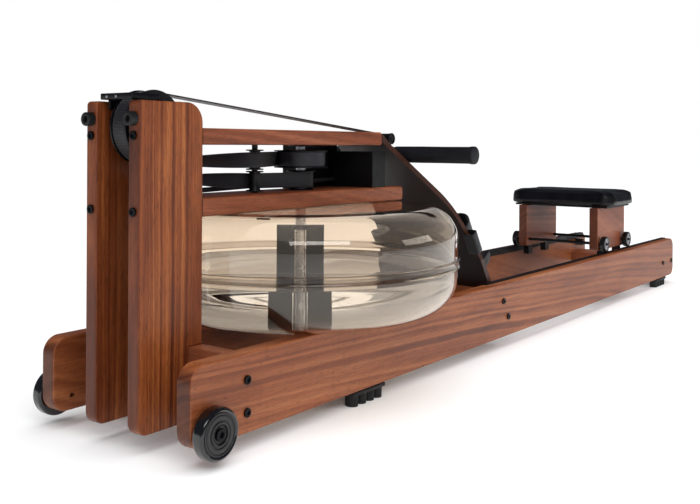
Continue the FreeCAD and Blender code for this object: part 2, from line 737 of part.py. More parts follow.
def make_drive_shaft():
    low = "rail_top + tank_wall + 2"
    shaft = rod("drive_shaft_rod", ("0", "0", low), "shaft_radius", "upper_deck_z - 3 - (%s)" % low)
    keep(shaft, "drive_shaft", "tank_x", "0", low)


def make_reel(label, middle, seat, flange):
    """A strap reel with two flanges, on the one-way bearing of the drive shaft."""
    half = "strap_width / 2"
    hole = "shaft_radius + running_gap"
    body = turned(label, [(hole, "-(%s) - 2.5" % half), (flange, "-(%s) - 2.5" % half),
                          (flange, "-(%s) - 0.5" % half), (seat, "-(%s) - 0.5" % half),
                          (seat, half + " + 0.5"), (flange, half + " + 0.5"),
                          (flange, half + " + 2.5"), (hole, half + " + 2.5")])
    keep(body, label, "tank_x", "0", middle)


def make_shaft_bearing():
    """A flanged plastic bearing in each deck."""
    pieces = []
    hole = "shaft_radius + running_gap"
    wall = "shaft_radius + bearing_wall"
    flange = "bearing_flange"
    for name, base, thickness in (("lower", "lower_deck_z", "lower_deck_thick"),
                                  ("upper", "upper_deck_z", "upper_deck_thick")):
        if name == "upper":
            profile = [(hole, base + " - 2"), (flange, base + " - 2"), (flange, base), (wall, base),
                       (wall, base + " + 12"), (hole, base + " + 12")]
        else:
            top = base + " + " + thickness
            profile = [(hole, base + " + 4"), (wall, base + " + 4"), (wall, top),
                       (flange, top), (flange, top + " + 2"), (hole, top + " + 2")]
        bearing = turned(name + "_bearing_body", profile)
        pieces.append(bearing)
    keep(group("bearings", pieces), "shaft_bearings", "tank_x")


# ---------------------------------------------------------------- strap drive

def make_guides():
    """Two strap rollers that share one upright spindle."""
    half = "strap_width / 2 + 2"
    for label, middle in (("upper_guide_roller", "drive_z"), ("lower_guide_roller", "recoil_z")):
        hole = "spindle_radius + running_gap"
        rim = "guide_radius + 6"
        body = turned(label, [(hole, "-(%s) - 2" % half), (rim, "-(%s) - 2" % half), (rim, "-(%s)" % half),
                              ("guide_radius", "-(%s)" % half), ("guide_radius", half), (rim, half),
                              (rim, half + " + 2"), (hole, half + " + 2")])
        keep(body, label, "guide_x", "0", middle)


def make_pulley():
    hole = "spindle_radius + running_gap"
    rim = "pulley_radius + strap_thick + flange_out"
    half = "pulley_width / 2"
    flat = "strap_width / 2 + 1"
    body = turned("front_pulley", [(hole, "-(%s)" % half), ("14", "-(%s)" % half), ("14", "-(%s)" % flat),
                                   ("pulley_radius - 10", "-(%s)" % flat), ("pulley_radius - 10", "-(%s)" % half),
                                   (rim, "-(%s)" % half), (rim, "-(%s)" % flat), ("pulley_radius", "-(%s)" % flat),
                                   ("pulley_radius", flat), (rim, flat), (rim, half),
                                   ("pulley_radius - 10", half), ("pulley_radius - 10", flat), ("14", flat),
                                   ("14", half), (hole, half)])
    keep(body, "front_pulley", "pulley_x", "0", "pulley_z", turn=ALONG_Y)


def make_recoil_pulley():
    hole = "recoil_axle_radius + running_gap"
    seat = "recoil_pulley_radius"
    rim = seat + " + 5"
    body = turned("recoil_pulley", [(hole, "-17"), (rim, "-17"), (rim, "-15"), (seat, "-15"), (seat, "15"),
                                    (rim, "15"), (rim, "17"), (hole, "17")])
    keep(body, "recoil_pulley", "pulley_x", "0", "recoil_z", turn=ALONG_Y)


def make_drive_axles():
    """The fixed axles of both pulleys and the upright spindle of the guide rollers."""
    front = rod("front_axle_rod", ("pulley_x", "0.1 - post_pitch / 2", "pulley_z"), "spindle_radius",
                "post_pitch - 0.2", ALONG_Y)
    recoil = rod("recoil_axle_rod", ("pulley_x", "-post_inner + 0.1", "recoil_z"), "recoil_axle_radius",
                 "2 * post_inner - 0.2", ALONG_Y)
    spindle = rod("spindle_rod", ("guide_x", "0", "lower_deck_top - 10"), "spindle_radius", "bay_height + 20")
    keep(group("axle_group", [front, recoil, spindle]), "drive_axles")


def strap_section(centre, twist):
    """A webbing section square to X, lying flat at twist 0 and upright at 90 degrees."""
    wide = num("strap_width") / 2
    thick = num("strap_thick") / 2
    corners = []
    for y, z in ((-wide, -thick), (wide, -thick), (wide, thick), (-wide, thick), (-wide, -thick)):
        turned_y = y * math.cos(twist) - z * math.sin(twist)
        turned_z = y * math.sin(twist) + z * math.cos(twist)
        corners.append(centre + Vector(0, turned_y, turned_z))
    return Part.makePolygon(corners)


def twisted_run(start, finish, steps=6):
    """Webbing that turns from flat at start to upright at finish."""
    sections = []
    for step in range(steps + 1):
        share = step / steps
        centre = start + (finish - start) * share
        sections.append(strap_section(centre, share * math.pi / 2))
    return Part.makeLoft(sections, True, False)


def strap_plan(side, reel_seat, height, front):
    """The webbing's middle line from the front pulley round a guide roller to a reel.

    side is +1 or -1 for the side of the reel that the webbing leaves; it passes the
    guide roller on the other side."""
    slack = num("strap_thick") / 2 + 0.4
    guide = Vector(num("guide_x"), 0, height)
    reel = Vector(num("tank_x"), 0, height)
    guide_ring = num("guide_radius") + slack
    reel_ring = num(reel_seat) + slack

    def beside(centre, angle, radius, at_side):
        return centre + Vector(math.sin(angle), at_side * math.cos(angle), 0) * radius

    lead_in = -math.asin(guide_ring / (guide.x - front.x))
    lead_out = math.asin((reel_ring + guide_ring) / (reel.x - guide.x))
    lap = [beside(guide, angle, guide_ring, -side) for angle in (lead_in, (lead_in + lead_out) / 2, lead_out)]
    return [front] + lap + [beside(reel, -lead_out, reel_ring, side)]


def upright_run(points):
    """Upright webbing through the given points, extruded from its plan."""
    half = num("strap_thick") / 2
    near_side = []
    far_side = []
    for index, point in enumerate(points):
        before = points[max(index - 1, 0)]
        after = points[min(index + 1, len(points) - 1)]
        ahead = Vector(after.x - before.x, after.y - before.y, 0).normalize()
        across = Vector(-ahead.y, ahead.x, 0) * half
        low = Vector(point.x, point.y, point.z - num("strap_width") / 2)
        near_side.append(low + across)
        far_side.append(low - across)
    outline = near_side + far_side[::-1] + near_side[:1]
    return Part.Face(Part.makePolygon(outline)).extrude(Vector(0, 0, num("strap_width")))


def make_drive_strap():
    """Webbing from the drive reel past the guide roller to the front pulley and round its front."""
    radius = num("pulley_rim")
    seat = num("pulley_radius") + 0.1
    centre = Vector(num("pulley_x"), 0, num("pulley_z"))
    half = num("strap_width") / 2
    ring = Part.makeCylinder(radius, 2 * half, centre - Vector(0, half, 0), Vector(0, 1, 0))
    hollow = Part.makeCylinder(seat, 2 * half, centre - Vector(0, half, 0), Vector(0, 1, 0))
    keep_side = Part.makeBox(2 * radius, 2 * half, 2 * radius, centre - Vector(2 * radius, half, radius))
    lap = ring.cut(hollow).common(keep_side)
    start = Vector(centre.x, 0, centre.z - radius + num("strap_thick") / 2 - 0.5)
    plan = strap_plan(1, "drive_reel_radius", num("drive_z"), start)
    piece = doc.addObject("Part::Feature", "drive_strap")
    piece.Shape = Part.makeCompound([lap, twisted_run(plan[0], plan[1]), upright_run(plan[1:])])
    keep(piece, "drive_strap")


def strap_leave_angle():
    """The slope of the webbing from the front pulley down to the strap roller."""
    radius = num("pulley_rim") - num("strap_thick") / 2
    low = num("rest_radius") + num("strap_thick") / 2 + 0.3
    run = num("rest_x - pulley_x")
    drop = num("pulley_z - rest_z") + radius - low
    return math.atan2(drop, run)


def make_handle_strap():
    """The webbing span from the front pulley over the strap roller to the handle."""
    thick = num("strap_thick")
    half = num("strap_width") / 2
    leave = strap_leave_angle()
    radius = num("pulley_rim") - thick / 2
    roller = num("rest_radius") + thick / 2 + 0.3
    handle = Vector(num("handle_x") - num("bar_radius") - 3.5, 0, num("handle_z") + 9)
    centre = Vector(num("pulley_x"), 0, num("pulley_z"))
    rest = Vector(num("rest_x"), 0, num("rest_z"))

    def side(point, angle, distance):
        return point + Vector(math.sin(angle), 0, math.cos(angle)) * distance

    gap = handle - rest
    turn = -math.atan2(gap.z, gap.x) + math.asin(roller / math.hypot(gap.x, gap.z))
    edges = []
    for offset in (thick / 2, -thick / 2):
        edges.append([side(centre, leave, radius + offset), side(rest, leave, roller + offset),
                      side(rest, (leave + turn) / 2, roller + offset), side(rest, turn, roller + offset),
                      side(handle, turn, offset)])
    top, under = edges
    outline = [
        Part.LineSegment(top[0], top[1]).toShape(), Part.Arc(top[1], top[2], top[3]).toShape(),
        Part.LineSegment(top[3], top[4]).toShape(), Part.LineSegment(top[4], under[4]).toShape(),
        Part.LineSegment(under[4], under[3]).toShape(), Part.Arc(under[3], under[2], under[1]).toShape(),
        Part.LineSegment(under[1], under[0]).toShape(), Part.LineSegment(under[0], top[0]).toShape(),
    ]
    face = Part.Face(Part.Wire(outline))
    face.translate(Vector(0, -half, 0))
    piece = doc.addObject("Part::Feature", "handle_strap")
    piece.Shape = face.extrude(Vector(0, 2 * half, 0))
    keep(piece, "handle_strap")


def make_recoil_strap():
    """Webbing from the recoil reel past the lower guide roller to the recoil pulley."""
    lift = num("recoil_pulley_radius") + num("strap_thick") / 2 + 0.5
    start = Vector(num("pulley_x"), 0, num("recoil_z") + lift)
    plan = strap_plan(-1, "recoil_reel_radius", num("recoil_z"), start)
    piece = doc.addObject("Part::Feature", "recoil_strap")
    piece.Shape = Part.makeCompound([twisted_run(plan[0], plan[1]), upright_run(plan[1:])])
    keep(piece, "recoil_strap")


def make_bungee():
    """The elastic cord from the recoil pulley back to its anchor block."""
    radius = num("bungee_radius")
    start = Vector(num("pulley_x"), 0, num("recoil_z") - num("recoil_pulley_radius") - radius - 0.2)
    finish = Vector(num("anchor_x"), 40, num("lower_deck_top") + 14)
    cord = Part.makeCylinder(radius, (finish - start).Length, start, finish - start)
    piece = doc.addObject("Part::Feature", "bungee_cord")
    piece.Shape = cord
    keep(piece, "bungee_cord")
    block = box("anchor_box", ("0", "0", "0"), ("anchor_length", "2 * post_half - 14", "bay_height - 12"))
    keep(block, "bungee_anchor", "anchor_x", "-post_half + 4", "lower_deck_top")


def make_drive_cover():
    """The black panel that closes the drive bay on its far side."""
    panel = box("cover_panel", ("0", "0", "0"), ("deck_end - cover_start", "cover_thick", "bay_height - 0.4"))
    keep(panel, "drive_cover", "cover_start", "post_half - cover_thick - 3", "lower_deck_top + 0.2")


def make_strap_guard():
    """The keeper over the front pulley: an arm along each post and a bar across in front."""
    arm_width = "(post_inner - pulley_width / 2 - 2)"
    base = "post_top + guard_rise - guard_thick"
    pieces = []
    for name, corner in (("near", "-post_inner"), ("far", "post_inner - " + arm_width)):
        pieces.append(box("guard_arm_" + name, ("guard_arm_x", corner, base),
                          ("guard_arm_length", arm_width, "guard_thick")))
        foot = "-post_inner" if name == "near" else "post_inner - 4"
        pieces.append(box("guard_foot_" + name, ("guard_arm_x + 8", foot, "post_top - 12"), ("30", "4", "14")))
    pieces.append(box("guard_bar", ("guard_bar_x", "-post_inner", base),
                      ("guard_bar_length", "2 * post_inner", "guard_thick")))
    keep(fuse("guard_frame", pieces), "strap_guard")


# ---------------------------------------------------------------- handle

def make_handle():
    half = "handle_length / 2"
    bar = rod("bar_rod", ("0", "0", "0"), "bar_radius", "handle_length - 20")
    keep(bar, "handle_bar", "handle_x", "-(%s) + 10" % half, "handle_z", turn=ALONG_Y)
    grips = []
    for side, sign in (("left", 1), ("right", -1)):
        hole = "bar_radius"
        length = half + " - 26"
        grip = turned(side + "_grip", [(hole, "0"), ("grip_radius - 2", "0"), ("grip_radius", "2"),
                                       ("grip_radius", length + " - 8"), ("grip_radius + 1.2", length + " - 4"),
                                       ("grip_radius + 1.2", length + " - 1"), ("grip_radius - 1", length + " + 3"),
                                       ("0", length + " + 3"), ("0", length + " - 3"), (hole, length + " - 6")])
        place(grip, "0", "%d * 23" % sign, "0", ALONG_Y if sign > 0 else ((1, 0, 0), 90))
        grips.append(grip)
    keep(group("grip_pair", grips), "handle_grips", "handle_x", "0", "handle_z")
    clip = turned("handle_clip", [("bar_radius", "-19"), ("bar_radius + 3", "-19"), ("bar_radius + 3", "19"),
                                  ("bar_radius", "19")])
    keep(clip, "handle_clip", "handle_x", "0", "handle_z", turn=ALONG_Y)
    pieces = [rod("rest_rod", ("rest_x", "-board_top_half", "rest_z"), "rest_radius", "2 * board_top_half",
                  ALONG_Y)]
    for sign in (-1, 1):
        pieces.append(box("roller_foot_%d" % (sign + 1), ("rest_x - 5", "%d * 46 - 2" % sign, "rest_z - 16"),
                          ("10", "4", "16")))
    keep(fuse("roller_and_feet", pieces), "strap_roller")


# ---------------------------------------------------------------- seat

def make_seat():
    body = new_body("seat_cushion")
    sketch = new_sketch(body, "cushion_outline", "XY_Plane")
    half_x = "seat_length / 2"
    half_y = "seat_width / 2"
    corners = [("-(%s)" % half_x, "-(%s)" % half_y), (half_x, "-(%s)" % half_y), (half_x, half_y),
               ("-(%s)" % half_x, half_y)]
    polygon(sketch, corners)
    pad(body, sketch, "seat_thick", "cushion_pad")
    round_corners(body, "cushion_corners", corners, "seat_corner", "XY_Plane")
    keep(body, "seat_cushion", "seat_x", "0", "seat_base_z + plate_thick + seat_thick / 2 + 0.2")
    plate = box("seat_plate_box", ("0", "0", "0"), ("seat_length - 2 * plate_margin_x",
                                                     "seat_width - 2 * plate_margin_y", "plate_thick"))
    keep(plate, "seat_plate", "seat_x - seat_length / 2 + plate_margin_x", "plate_margin_y - seat_width / 2",
         "seat_base_z")


def make_seat_leg(side, sign):
    body = new_body(side + "_seat_leg")
    sketch = new_sketch(body, side + "_leg_outline")
    half = "leg_length / 2"
    corners = [("-(%s)" % half, "leg_base_z"), (half, "leg_base_z"), (half, "seat_base_z"),
               ("-(%s)" % half, "seat_base_z")]
    polygon(sketch, corners)
    pad(body, sketch, "leg_thick", side + "_leg_board")
    round_corners(body, side + "_leg_corners", corners[:2], "8")
    ease_edges(body, side + "_leg_eased", "board_edge / 2")
    holes = new_sketch(body, side + "_leg_axle_sketch")
    for index, end in enumerate((-1, 1)):
        circle(holes, "%d * seat_wheel_base / 2" % end, "seat_wheel_z", "seat_axle_radius + 0.1", "a%d" % index)
    pocket_through(body, holes, side + "_leg_axle_holes")
    keep(body, side + "_seat_leg", "seat_x", "%d * (leg_outer - leg_thick / 2)" % sign)


def make_seat_wheels():
    hole = "seat_axle_radius + running_gap"
    axles = []
    inner = "leg_outer + side_gap + 5"
    for end_name, end in (("front", -1), ("rear", 1)):
        x = "%d * seat_wheel_base / 2" % end
        reach = inner + " + seat_wheel_width + 2"
        axles.append(rod(end_name + "_axle", (x, "-(%s)" % reach, "seat_wheel_z"), "seat_axle_radius",
                         "2 * (%s)" % reach, ALONG_Y))
        for side, sign in (("left", 1), ("right", -1)):
            label = "%s_%s_seat_wheel" % (side, end_name)
            rim = "seat_wheel_radius"
            wide = "seat_wheel_width"
            wheel = turned(label, [(hole, "0"), ("8", "0"), ("8", "1.5"), (rim + " - 5", "1.5"),
                                   (rim + " - 4", "0"),
                                   (rim + " - 1.5", "0"), (rim, "2"), (rim, wide + " - 2"),
                                   (rim + " - 1.5", wide), (rim + " - 4", wide), (rim + " - 5", wide + " - 1.5"),
                                   ("8", wide + " - 1.5"), ("8", wide), (hole, wide)])
            turn = ALONG_Y if sign > 0 else ((1, 0, 0), 90)
            keep(wheel, label, "seat_x + %s" % x, "%d * (%s)" % (sign, inner), "seat_wheel_z", turn=turn)
    keep(group("axles", axles), "seat_axles", "seat_x")
    guides = []
    for sign in (-1, 1):
        for end in (-1, 1):
            corner = ("%d * guide_pitch / 2 - guide_length / 2" % end, "%d * (leg_outer - 7) - 8" % sign,
                      "rail_top - guide_drop")
            guides.append(box("guide_%d_%d" % (sign + 1, end + 1), corner,
                              ("guide_length", "16", "leg_base_z - (rail_top - guide_drop)")))
    keep(group("guides", guides), "seat_guides", "seat_x")


def make_track(side, sign):
    """A black strip: a flat on the rail's top and a lip down its inner face."""
    body = new_body(side + "_track")
    sketch = new_sketch(body, side + "_track_section", "YZ_Plane")
    s = "%d * " % sign
    inner = s + "(rail_inner - track_thick)"
    outer = s + "(rail_inner + track_width)"
    edge = s + "rail_inner"
    polygon(sketch, [(inner, "rail_top - track_lip"), (edge, "rail_top - track_lip"), (edge, "rail_top"),
                     (outer, "rail_top"), (outer, "track_top"), (inner, "track_top")])
    feature = body.newObject("PartDesign::Pad", side + "_track_strip")
    feature.Profile = sketch
    bind(feature, "Length", "rail_length - rail_corner - track_start")
    doc.recompute()
    keep(body, side + "_track", "track_start")


def make_seat_stops():
    """Rubber blocks on the rails' inner faces that end the travel of the guide blocks."""
    stops = []
    length = 14
    reach = "(guide_pitch / 2 + guide_length / 2 + 1)"
    ends = ("seat_x - travel_front - %s - %d" % (reach, length), "seat_x + travel_rear + " + reach)
    for sign in (-1, 1):
        for index, x in enumerate(ends):
            corner = (x, "%d * (rail_inner - 12) - 12" % sign, "rail_top - track_lip - 20")
            stops.append(box("stop_%d_%d" % (sign + 1, index), corner, (str(length), "24", "19")))
    keep(group("stops", stops), "seat_stops")


# ---------------------------------------------------------------- feet, wheels, fasteners

def make_feet(label, start):
    """A moulded foot under each rail: round studs in a row on a thin sole."""
    feet = []
    count = 4
    step = "foot_length / %d" % count
    for sign in (-1, 1):
        middle = "%d * (rail_outer - rail_thick / 2)" % sign
        sole = box("%s_sole_%d" % (label, sign + 1), (start, middle + " - rail_thick / 2", "rail_lift - foot_sole"),
                   ("foot_length", "rail_thick", "foot_sole"))
        pieces = [sole]
        for index in range(count):
            pieces.append(rod("%s_stud_%d_%d" % (label, sign + 1, index),
                              ("%s + (%d + 0.5) * %s" % (start, index, step), middle, "0"),
                              step + " / 2 - 0.6", "rail_lift - foot_sole"))
        feet.append(fuse("%s_foot_%d" % (label, sign + 1), pieces))
    keep(group(label + "_group", feet), label)


def make_transport_wheel(side, sign):
    hole = "bolt_radius + running_gap"
    rim = "roller_radius"
    wide = "roller_width"
    wheel = turned(side + "_transport_wheel",
                   [(hole, "0"), ("10", "0"), (rim + " - 6", "0"), (rim + " - 2", "1"), (rim, "5"),
                    (rim, wide + " - 5"), (rim + " - 2", wide + " - 1"), (rim + " - 4", wide),
                    (rim + " - 6", wide), (rim + " - 8", wide + " - 2"), ("19", wide + " - 2"),
                    ("18", wide), ("15", wide), ("14", wide + " - 4"), (hole, wide + " - 4")])
    turn = ALONG_Y if sign > 0 else ((1, 0, 0), 90)
    keep(wheel, side + "_transport_wheel", "roller_x", "%d * (rail_outer + 3)" % sign, "roller_z", turn=turn)


def headed_bolt(name, head, radius, head_radius, head_length, length, turn):
    """A socket-head bolt: base of the head at head, shank beyond it along the turned axis."""
    shank = rod(name + "_shank", ("0", "0", "0"), radius, length)
    cap = rod(name + "_cap", ("0", "0", "0"), head_radius, head_length)
    socket = rod(name + "_socket", ("0", "0", "-1"), "(%s) * 0.5" % head_radius, "(%s) * 0.6 + 1" % head_length)
    whole = cut(name, fuse(name + "_blank", [shank, cap]), [socket])
    place(whole, *head, turn=turn)
    return whole


def rail_bolts():
    bolts = []
    for sign in (-1, 1):
        turn = ((1, 0, 0), -90 if sign < 0 else 90)
        for index, (x, z) in enumerate(rail_bolt_spots()):
            y = "%d * (rail_outer + 3)" % sign
            bolts.append(headed_bolt("rail_bolt_%d_%d" % (sign + 1, index), (x, y, z), "bolt_radius",
                                     "bolt_head_radius", "3", "rail_thick + 3", turn))
    return bolts


def make_axle_bolts():
    bolts = []
    for sign in (-1, 1):
        turn = ((1, 0, 0), -90 if sign < 0 else 90)
        y = "%d * (rail_outer + roller_width + 4)" % sign
        bolts.append(headed_bolt("axle_bolt_%d" % (sign + 1), ("roller_x", y, "roller_z"), "bolt_radius",
                                 "9", "4.5", "rail_thick + roller_width + 8", turn))
    keep(group("axle_bolt_group", bolts), "wheel_bolts")


def make_bolts_and_bumpers():
    bolts = rail_bolts()
    bumpers = []
    for sign in (-1, 1):
        y = "%d * post_pitch / 2" % sign
        for level, z in (("up", "upper_deck_z + upper_deck_thick / 2"),
                         ("low", "lower_deck_z + lower_deck_thick / 2")):
            bolts.append(headed_bolt("post_bolt_%s_%d" % (level, sign + 1), ("-3", y, z), "bolt_radius",
                                     "bolt_head_radius", "3", "post_width + 38", ALONG_X))
        bumper = rod("bumper_%d" % (sign + 1), ("-bumper_length", y, "post_top - 26"), "bumper_radius",
                     "bumper_length", ALONG_X)
        socket = rod("bumper_hole_%d" % (sign + 1), ("-bumper_length - 1", y, "post_top - 26"), "3.5",
                     "7", ALONG_X)
        bumpers.append(cut("bumper_cut_%d" % (sign + 1), bumper, [socket]))
    keep(group("bolt_group", bolts), "frame_bolts")
    keep(group("bumper_group", bumpers), "post_bumpers")


# ---------------------------------------------------------------- build and write

def build():
    fill_sheet()
    for side, sign in (("left", 1), ("right", -1)):
        make_rail(side, sign)
        make_post(side, sign)
        make_track(side, sign)
        make_seat_leg(side, sign)
        make_transport_wheel(side, sign)
        make_heel_cup(side, sign)
    make_spacers()
    make_deck("upper", "deck_end", "upper_deck_z", "upper_deck_thick")
    make_deck("lower", "lower_deck_end", "lower_deck_z", "lower_deck_thick")
    make_footboard()
    make_foot_straps()
    make_lower_shell()
    make_upper_shell()
    make_seal_ring()
    make_water()
    make_plug()
    make_paddle()
    make_drive_shaft()
    make_reel("drive_reel", "drive_z", "drive_reel_radius", "drive_reel_radius + reel_flange")
    make_reel("recoil_reel", "recoil_z", "recoil_reel_radius", "recoil_reel_radius + reel_flange")
    make_shaft_bearing()
    make_guides()
    make_pulley()
    make_recoil_pulley()
    make_drive_axles()
    make_drive_strap()
    make_handle_strap()
    make_recoil_strap()
    make_bungee()
    make_drive_cover()
    make_strap_guard()
    make_handle()
    make_seat()
    make_seat_wheels()
    make_seat_stops()
    make_feet("front_feet", "front_foot_x")
    make_feet("rear_feet", "rear_foot_x")
    make_axle_bolts()
    make_bolts_and_bumpers()
    doc.recompute()


def check():
    """Stop unless every object computed and every sub-part is a valid solid."""
    faults = []
    for thing in doc.Objects:
        if "Invalid" in thing.State or "Error" in thing.State:
            faults.append(thing.Name + " failed")
    for thing in parts:
        if thing.Shape.isNull() or not thing.Shape.isValid() or not thing.Shape.Solids:
            faults.append(thing.Label + " has no valid solid")
    labels = [thing.Label for thing in parts]
    if len(set(labels)) != len(labels):
        faults.append("two sub-parts share a name")
    if faults:
        raise RuntimeError("; ".join(faults))


def write():
    os.makedirs("parts", exist_ok=True)
    for thing in parts:
        thing.Shape.exportStep(os.path.join("parts", thing.Label + ".step"))
    print(len(parts), "sub-parts written")


build()
check()
write()
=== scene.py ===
import math
import bpy
from mathutils import Euler, Matrix, Vector


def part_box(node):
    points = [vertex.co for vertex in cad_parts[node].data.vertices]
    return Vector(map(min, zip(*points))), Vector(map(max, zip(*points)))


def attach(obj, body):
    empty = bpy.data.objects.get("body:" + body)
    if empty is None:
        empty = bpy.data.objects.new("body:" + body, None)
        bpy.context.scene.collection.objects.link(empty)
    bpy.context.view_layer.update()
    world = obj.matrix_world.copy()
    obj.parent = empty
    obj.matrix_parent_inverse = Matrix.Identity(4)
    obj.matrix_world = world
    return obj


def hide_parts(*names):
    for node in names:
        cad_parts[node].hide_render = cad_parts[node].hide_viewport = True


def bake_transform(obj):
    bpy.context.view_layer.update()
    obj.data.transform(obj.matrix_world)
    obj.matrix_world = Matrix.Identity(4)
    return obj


# A water rowing machine in oiled walnut, with a smoked tank, webbing drive and padded seat.
# Metres, in the frame's own axes: +X from the tank's end to the seat's end, +Z up.

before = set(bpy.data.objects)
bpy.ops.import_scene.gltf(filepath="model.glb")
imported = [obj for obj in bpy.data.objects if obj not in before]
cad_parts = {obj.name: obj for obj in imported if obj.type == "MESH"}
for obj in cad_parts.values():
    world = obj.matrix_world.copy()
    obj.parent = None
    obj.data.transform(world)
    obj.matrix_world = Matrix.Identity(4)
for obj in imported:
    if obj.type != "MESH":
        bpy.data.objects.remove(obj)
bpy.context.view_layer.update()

MM = 0.001


# ---------------------------------------------------------------- places in the frame

def low(node):
    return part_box(node)[0]


def high(node):
    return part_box(node)[1]


def middle(node):
    return (low(node) + high(node)) / 2


def size(node):
    return high(node) - low(node)


# ---------------------------------------------------------------- modelling helpers

TURNS = {
    "+X": (0, math.pi / 2, 0), "-X": (0, -math.pi / 2, 0), "+Y": (-math.pi / 2, 0, 0),
    "-Y": (math.pi / 2, 0, 0), "+Z": (0, 0, 0), "-Z": (math.pi, 0, 0),
}


def select_none():
    if bpy.context.mode != "OBJECT":
        bpy.ops.object.mode_set(mode="OBJECT")
    bpy.ops.object.select_all(action="DESELECT")


def only(piece):
    select_none()
    piece.select_set(True)
    bpy.context.view_layer.objects.active = piece


def pick(piece, kind, test):
    """Open a piece in edit mode with only the points, edges or faces that pass the test selected."""
    only(piece)
    bpy.ops.object.mode_set(mode="EDIT")
    bpy.ops.mesh.select_mode(type=kind)
    bpy.ops.mesh.select_all(action="DESELECT")
    bpy.ops.object.mode_set(mode="OBJECT")
    mesh = piece.data
    for part in {"VERT": mesh.vertices, "EDGE": mesh.edges, "FACE": mesh.polygons}[kind]:
        part.select = test(part)
    bpy.ops.object.mode_set(mode="EDIT")


def modify(piece, kind, **settings):
    """Add a modifier with its settings and apply it."""
    only(piece)
    modifier = piece.modifiers.new(kind.lower(), kind)
    for name, value in settings.items():
        setattr(modifier, name, value)
    bpy.ops.object.modifier_apply(modifier=modifier.name)


def round_edges(piece, width, segments=3, angle=40):
    modify(piece, "BEVEL", width=width, segments=segments, limit_method="ANGLE",
           angle_limit=math.radians(angle))


def drop(*pieces):
    """Delete pieces that only helped to make others."""
    select_none()
    for piece in pieces:
        piece.select_set(True)
    bpy.ops.object.delete()


def settle(piece, material, smooth=35):
    """Shade a finished piece, put its place in its mesh and give it its material."""
    only(piece)
    bpy.ops.object.transform_apply(location=True, rotation=True, scale=True)
    bpy.ops.object.shade_smooth_by_angle(angle=math.radians(smooth))
    piece.data.materials.clear()
    piece.data.materials.append(material)
    select_none()
    return piece


def join(name, pieces):
    """Make one object of several, each with the materials it has."""
    select_none()
    for piece in pieces:
        piece.select_set(True)
    bpy.context.view_layer.objects.active = pieces[0]
    if len(pieces) > 1:
        bpy.ops.object.join()
    pieces[0].name = name
    select_none()
    return pieces[0]


def copy(piece, name):
    """A second piece with its own mesh."""
    twin = piece.copy()
    twin.data = piece.data.copy()
    twin.name = name
    bpy.context.scene.collection.objects.link(twin)
    return twin


def fit(piece, body, slot, *nodes):
    """Let a piece ride on its body and stand for the frame's own nodes."""
    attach(piece, body)
    if nodes:
        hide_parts(*nodes)
    return piece


def lathe(name, outline, steps=96):
    """A piece turned about Z from an outline of (radius, height) points in millimetres."""
    select_none()
    bpy.ops.mesh.primitive_plane_add(size=MM, location=(0, 0, 0))
    piece = bpy.context.object
    piece.name = name
    bpy.ops.object.mode_set(mode="EDIT")
    bpy.ops.mesh.select_mode(type="VERT")
    bpy.ops.mesh.select_all(action="SELECT")
    bpy.ops.mesh.merge(type="CENTER")
    radius, height = outline[0]
    bpy.ops.transform.translate(value=(radius * MM, 0, height * MM))
    for after in outline[1:]:
        step = ((after[0] - radius) * MM, 0, (after[1] - height) * MM)
        bpy.ops.mesh.extrude_vertices_move(TRANSFORM_OT_translate={"value": step})
        radius, height = after
    bpy.ops.mesh.select_all(action="SELECT")
    bpy.ops.mesh.spin(steps=steps, angle=2 * math.pi, center=(0, 0, 0), axis=(0, 0, 1))
    bpy.ops.mesh.select_all(action="SELECT")
    bpy.ops.mesh.remove_doubles(threshold=0.01 * MM)
    bpy.ops.mesh.normals_make_consistent(inside=False)
    bpy.ops.object.mode_set(mode="OBJECT")
    return piece


def stand(piece, at, direction="+Z"):
    """Turn a piece's own Z to a direction and put its origin at a point."""
    piece.rotation_euler = TURNS[direction]
    piece.location = at
    return piece


def turned(name, outline, at, material, direction="+Z", smooth=40, steps=48):
    """A lathed piece, finished where it stands."""
    return settle(stand(lathe(name, outline, steps), at, direction), material, smooth)


def arc(radius, height, bend, start, finish, steps=10):
    """Outline points round a bend: angles in degrees from straight out, up being 90."""
    points = []
    for step in range(steps + 1):
        angle = math.radians(start + (finish - start) * step / steps)
        points.append((radius + bend * math.cos(angle), height + bend * math.sin(angle)))
    return points


def block(name, corner, far_corner, width, segments=3):
    """A rounded block between two corners."""
    select_none()
    corner, far_corner = Vector(corner), Vector(far_corner)
    bpy.ops.mesh.primitive_cube_add(size=1, location=(corner + far_corner) / 2)
    piece = bpy.context.object
    piece.name = name
    piece.scale = far_corner - corner
    bpy.ops.object.transform_apply(location=False, rotation=False, scale=True)
    if width:
        round_edges(piece, width, segments)
    return piece


# ---------------------------------------------------------------- material helpers

def linear(colour):
    """An sRGB hex colour as linear RGBA."""
    channels = [int(colour[start:start + 2], 16) / 255 for start in (1, 3, 5)]
    light = [c / 12.92 if c <= 0.04045 else ((c + 0.055) / 1.055) ** 2.4 for c in channels]
    return (*light, 1.0)


def add(tree, kind, inputs=None, stops=None, **settings):
    """Add a node with its settings, its colour stops and its values or links."""
    node = tree.nodes.new("ShaderNode" + kind)
    for name, value in settings.items():
        setattr(node, name, value)
    if stops:
        ramp = node.color_ramp.elements
        while len(ramp) < len(stops):
            ramp.new(0.5)
        for element, (place, colour) in zip(ramp, stops):
            element.position = place
            element.color = linear(colour)
    for name, value in (inputs or {}).items():
        if isinstance(value, bpy.types.NodeSocket):
            tree.links.new(value, node.inputs[name])
        else:
            node.inputs[name].default_value = value
    return node


